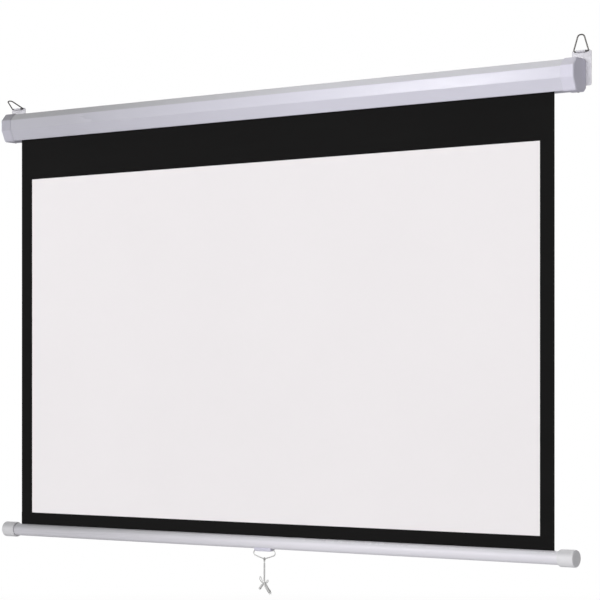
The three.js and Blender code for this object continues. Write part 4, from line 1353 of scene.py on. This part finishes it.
class PULLSCREEN_OT_screen_cloth(bpy.types.Operator):
    """Hangs the white cloth with its black border and the last turns on the roller"""

    bl_idname = "pullscreen.screen_cloth"
    bl_label = "Add the Screen Cloth"

    def execute(self, context):
        ripple = context.scene.pull_screen.sizes.cloth_ripple / MM
        cloth = self.add_sheet(ripple)
        border = self.add_border(ripple)
        wound = self.add_wound_cloth()
        strip = self.add_bottom_strip(ripple)
        finished(cloth, "case", "Screen Face", "screen_sheet", slot="screen_white")
        finished(border, "case", "Black Border", "masking_border", slot="screen_black")
        for piece in (cloth, border):
            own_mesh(piece)
        cloth.data.materials.append(material_of("Screen Back"))
        for polygon in cloth.data.polygons:
            polygon.material_index = int(polygon.normal.y > 0.5)
        finished(strip, "weight_bar", "Black Border", slot="screen_black")
        finished(wound, "roller", "Black Border", "wound_fabric", slot="screen_white")
        return {"FINISHED"}

    def wave(self, x, z, ripple):
        """How far the cloth stands forward at one place; it is flat at the case and at the bar."""
        drop = min(max((CASE_LOW_Z - z) / FREE_DROP, 0), 1)
        broad = math.sin(x / 210 + 0.6)
        fine = 0.5 * math.sin(x / 97 + z / 330 + 1.9)
        return -ripple * math.sin(math.pi * drop) * (broad + fine)

    def panel(self, name, x_values, z_values, depths, ripple, hole=None):
        """A thin closed panel over a grid of places, without the cells that a hole takes."""
        columns, size = len(x_values), len(x_values) * len(z_values)
        places = [
            (x, y + self.wave(x, z, ripple), z) for y in depths for z in z_values for x in x_values
        ]

        def in_hole(c, r):
            if not hole:
                return False
            left, right, low, high = hole
            across = left - 0.01 <= x_values[c] and x_values[c + 1] <= right + 0.01
            return across and low - 0.01 <= z_values[r] and z_values[r + 1] <= high + 0.01

        cells = {
            (c, r) for c in range(columns - 1) for r in range(len(z_values) - 1) if not in_hole(c, r)
        }
        faces = []
        for c, r in cells:
            a = r * columns + c
            quad = (a, a + 1, a + columns + 1, a + columns)
            faces += [quad, tuple(size + i for i in reversed(quad))]
            beside = ((c, r - 1), (c + 1, r), (c, r + 1), (c - 1, r))
            for cell, p, q in zip(beside, quad, quad[1:] + quad[:1]):
                if cell not in cells:
                    faces.append((p, p + size, q + size, q))
        piece = mesh_piece(name, places, sorted(faces))
        edited(piece, lambda work: bmesh.ops.delete(
            work, geom=[v for v in work.verts if not v.link_faces], context="VERTS",
        ))
        return piece

    def add_sheet(self, ripple):
        return self.panel(
            "hanging_cloth", spaced(-FABRIC_HALF, FABRIC_HALF, 60),
            spaced(FABRIC_LOW_Z, ROLLER_Z, 50), (SHEET_Y - 0.2, SHEET_Y + 0.2), ripple,
        )

    def add_border(self, ripple):
        """The black frame, which is a thin coat in front of the cloth."""
        left, right, low, high = WHITE_AREA
        x_values = sorted({
            *spaced(-FABRIC_HALF, left, 2), *spaced(left, right, 56), *spaced(right, FABRIC_HALF, 2),
        })
        z_values = sorted({
            *spaced(FABRIC_LOW_Z, low, 2), *spaced(low, high, 42), *spaced(high, ROLLER_Z, 7),
        })
        depths = (SHEET_Y - 0.35, SHEET_Y - 0.21)
        return self.panel("printed_border", x_values, z_values, depths, ripple, WHITE_AREA)

    def add_bottom_strip(self, ripple):
        """The border's lowest part, which stays on the bar when the cloth is rolled up."""
        return self.panel(
            "border_bottom_strip", spaced(-FABRIC_HALF, FABRIC_HALF, 40),
            spaced(STRIP_LOW_Z, VIEW_LOW_Z, 2), (SHEET_Y - 0.87, SHEET_Y - 0.77), ripple,
        )

    def add_wound_cloth(self):
        """The last turn and a half of cloth, wound in a spiral on the roller."""
        start, end, turns, thickness, steps = 15.12, 15.42, 1.55, 0.28, 100
        angles = spaced(math.pi - FULL_TURN * turns, math.pi, steps)

        def spiral(lift):
            radii = spaced(start + lift, end + lift, steps)
            return [
                (ROLLER_Y + radius * math.cos(angle), ROLLER_Z + radius * math.sin(angle))
                for radius, angle in zip(radii, angles)
            ]

        stations = spaced(-FABRIC_HALF, FABRIC_HALF, 12)
        return extruded("wound_cloth", stations, spiral(thickness) + spiral(0)[::-1], thin=True)


class PULLSCREEN_OT_weight_bar(bpy.types.Operator):
    """Draws the slotted weight bar and moulds its two rounded caps"""

    bl_idname = "pullscreen.weight_bar"
    bl_label = "Add the Weight Bar"

    def execute(self, context):
        finished(self.add_tube(), "weight_bar", "Bar Enamel", "weight_bar_tube", slot="white_enamel")
        rounding = context.scene.pull_screen.sizes.bar_round / MM
        add_pair(
            lambda hand: self.add_cap(rounding, hand), "weight_bar", "Bar Cap Plastic", "bar_cap",
            "cap_plastic", 35,
        )
        return {"FINISHED"}

    def add_tube(self):
        """A round tube open along a slot at its top, with rounded slot edges."""
        outer, inner, edge, sides = BAR_RADIUS, BAR_RADIUS - BAR_WALL, BAR_WALL / 2, 72
        middle = inner + edge
        half_slot = math.asin((BAR_SLOT + edge) / middle)
        start, sweep = math.pi / 2 + half_slot, FULL_TURN - 2 * half_slot
        section = [
            *arc(outer, start, sweep, sides), *self.slot_edge(start + sweep, middle, edge),
            *arc(inner, start, sweep, sides)[::-1], *self.slot_edge(start, middle, -edge),
        ]
        tube = extruded(
            "weight_bar_drawn_tube", spaced(-BAR_END_X, BAR_END_X, 16),
            [(SHEET_Y + y, BAR_Z + z) for y, z in section], thin=True,
        )
        hole = [(-19, HOLE_RADIUS), (-11, HOLE_RADIUS)]
        for x in CLIP_SCREWS_X:
            drilled(tube, hole, (x, SHEET_Y, BAR_Z), "Z", 20)
        smooth(tube)
        return tube

    def slot_edge(self, angle, middle, edge):
        """Half a turn round the edge of the sheet at the slot."""
        out = Vector((math.cos(angle), math.sin(angle)))
        along = Vector((-out.y, out.x))
        half_turn = arc(edge, 0, math.pi, 5)[1:-1]
        return [tuple(out * (middle + across) + along * past) for across, past in half_turn]

    def add_cap(self, rounding, hand):
        (start, end), radius = BAR_CAP_X, BAR_CAP_RADIUS
        profile = [
            (end - 4, 0.01), (end - 4, 15.9), (end - 4.4, BAR_ROOM), (start + 0.4, BAR_ROOM),
            (start, 16.7), (start, 18.4), (start + 0.5, 19.1), (start + 1.6, 19.7),
            (start + 3, radius - 0.05), (start + 4, radius), (end - rounding - 2, radius),
            *rounded_rim(end, radius, rounding, 10),
            (end + 0.15, 10), (end + 0.25, 5), (end + 0.28, 0.01),
        ]
        return turned(f"{hand}_bar_cap_moulding", profile, (SHEET_Y, BAR_Z), 72)


class PULLSCREEN_OT_handle(bpy.types.Operator):
    """Moulds the clip under the bar and bends the wire pull handle"""

    bl_idname = "pullscreen.handle"
    bl_label = "Add the Pull Handle"

    def execute(self, context):
        finished(self.add_clip(), "weight_bar", "Clip Plastic", "handle_clip", slot="cap_plastic")
        points = [(x, SHEET_Y, HANDLE_PIVOT_Z + z) for x, z in HANDLE_OUTLINE]
        wire = from_tree(
            path_piece("handle_wire_bent", points, HANDLE_BENDS), bent_wire_tree, "Handle Wire",
            Wire_Radius=context.scene.pull_screen.sizes.handle_wire,
        )
        finished(wire, "handle", "Handle Wire", "wire_handle", slot="zinc_steel")
        return {"FINISHED"}

    def add_clip(self):
        """A saddle that hugs the bar and bulges below it, softly rounded."""
        rings = []
        for share in spaced(-1, 1, 24):
            soft = (1 - abs(share) ** 8) ** 0.5
            reach, drop = 8.2 + 1.8 * soft, 20.6 + 1.4 * soft
            corners = [(-reach, -11), (-reach, -drop), (reach, -drop), (reach, -11)]
            path = rounded_path(corners, [0.8, 3.0, 3.0, 0.8])
            rings.append([(CLIP_HALF * share, SHEET_Y + y, BAR_Z + z) for y, z in path])
        clip = lofted("handle_clip_moulding", rings)
        for z, radius, sides in ((HANDLE_PIVOT_Z, 1.8, 24), (BAR_Z, BAR_ROOM, 96)):
            combined(clip, turned("room", [(-30, radius), (30, radius)], (SHEET_Y, z), sides))
        for x in CLIP_SCREWS_X:
            for radius, low, high in ((SINK_RADIUS, -30, -20.1), (HOLE_RADIUS, -25, -11)):
                drilled(clip, [(low, radius), (high, radius)], (x, SHEET_Y, BAR_Z), "Z", 28)
        smooth(clip)
        return clip


class PULLSCREEN_OT_screws(bpy.types.Operator):
    """Drives the screws of the caps, the wall plates and the handle clip"""

    bl_idname = "pullscreen.screws"
    bl_label = "Add the Screws"

    def execute(self, context):
        places, nodes = [], []
        cap_y, cap_z = CAP_SCREW_PLACE
        for side, hand in reversed(HANDS):
            x = side * SCREW_X
            places += [((x, cap_y, way * cap_z), (0, 0, way), 0) for way in (1, -1)]
            places += [((x, 0, z), (0, 1, 0), 1) for z in PLATE_SCREWS_Z]
            nodes += [f"{hand}_cap_screw_top", f"{hand}_cap_screw_bottom"]
            nodes += [f"{hand}_plate_screw_upper", f"{hand}_plate_screw_lower"]
        self.add_screws("end_screws", places, "case", nodes)
        clip = [((x, SHEET_Y, CLIP_SCREW_Z), (0, 0, -1), 0) for x in CLIP_SCREWS_X]
        nodes = ["clip_screw_left", "clip_screw_right"]
        self.add_screws("handle_clip_screws", clip, "weight_bar", nodes)
        return {"FINISHED"}

    def add_screws(self, name, places, body, nodes):
        screws = from_tree(point_piece(name, places), screws_tree, "Zinc Plate")
        smooth(screws, 40)
        finished(screws, body, "Zinc Plate", *nodes, slot="zinc_steel")


class PULLSCREEN_OT_inner_parts(bpy.types.Operator):
    """Gives the roller, the spring motor and the hem rod their finishes"""

    bl_idname = "pullscreen.inner_parts"
    bl_label = "Finish the Inner Parts"

    def execute(self, context):
        for finish, names in INNER_FINISHES.items():
            for name in names:
                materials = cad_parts[name].data.materials
                materials.clear()
                materials.append(material_of(finish))
        return {"FINISHED"}


class PULLSCREEN_PT_panel(bpy.types.Panel):
    """Lists the builders of the projection screen"""

    bl_label = "Projection Screen"
    bl_idname = "PULLSCREEN_PT_panel"
    bl_space_type = "VIEW_3D"
    bl_region_type = "UI"
    bl_category = "Screen"

    def draw(self, context):
        for operator in OPERATORS:
            self.layout.operator(operator.bl_idname)
        settings = context.scene.pull_screen
        for group in (settings.sizes, settings.colours, settings.stage):
            box = self.layout.box()
            for name in group.__annotations__:
                box.prop(group, name)


OPERATORS = (
    PULLSCREEN_OT_stage, PULLSCREEN_OT_cord, PULLSCREEN_OT_case, PULLSCREEN_OT_end_caps,
    PULLSCREEN_OT_wall_plates, PULLSCREEN_OT_hanging_loops, PULLSCREEN_OT_screen_cloth,
    PULLSCREEN_OT_weight_bar, PULLSCREEN_OT_handle, PULLSCREEN_OT_screws, PULLSCREEN_OT_inner_parts,
)
CLASSES = (ScreenSizes, ScreenColours, ScreenStage, ScreenSettings, *OPERATORS, PULLSCREEN_PT_panel)


def register():
    for item in CLASSES:
        bpy.utils.register_class(item)
    bpy.types.Scene.pull_screen = PointerProperty(type=ScreenSettings)


def unregister():
    del bpy.types.Scene.pull_screen
    for item in reversed(CLASSES):
        bpy.utils.unregister_class(item)


def main():
    register()
    for operator in OPERATORS:
        group, name = operator.bl_idname.split(".")
        getattr(getattr(bpy.ops, group), name)()


if __name__ == "__main__":
    main()
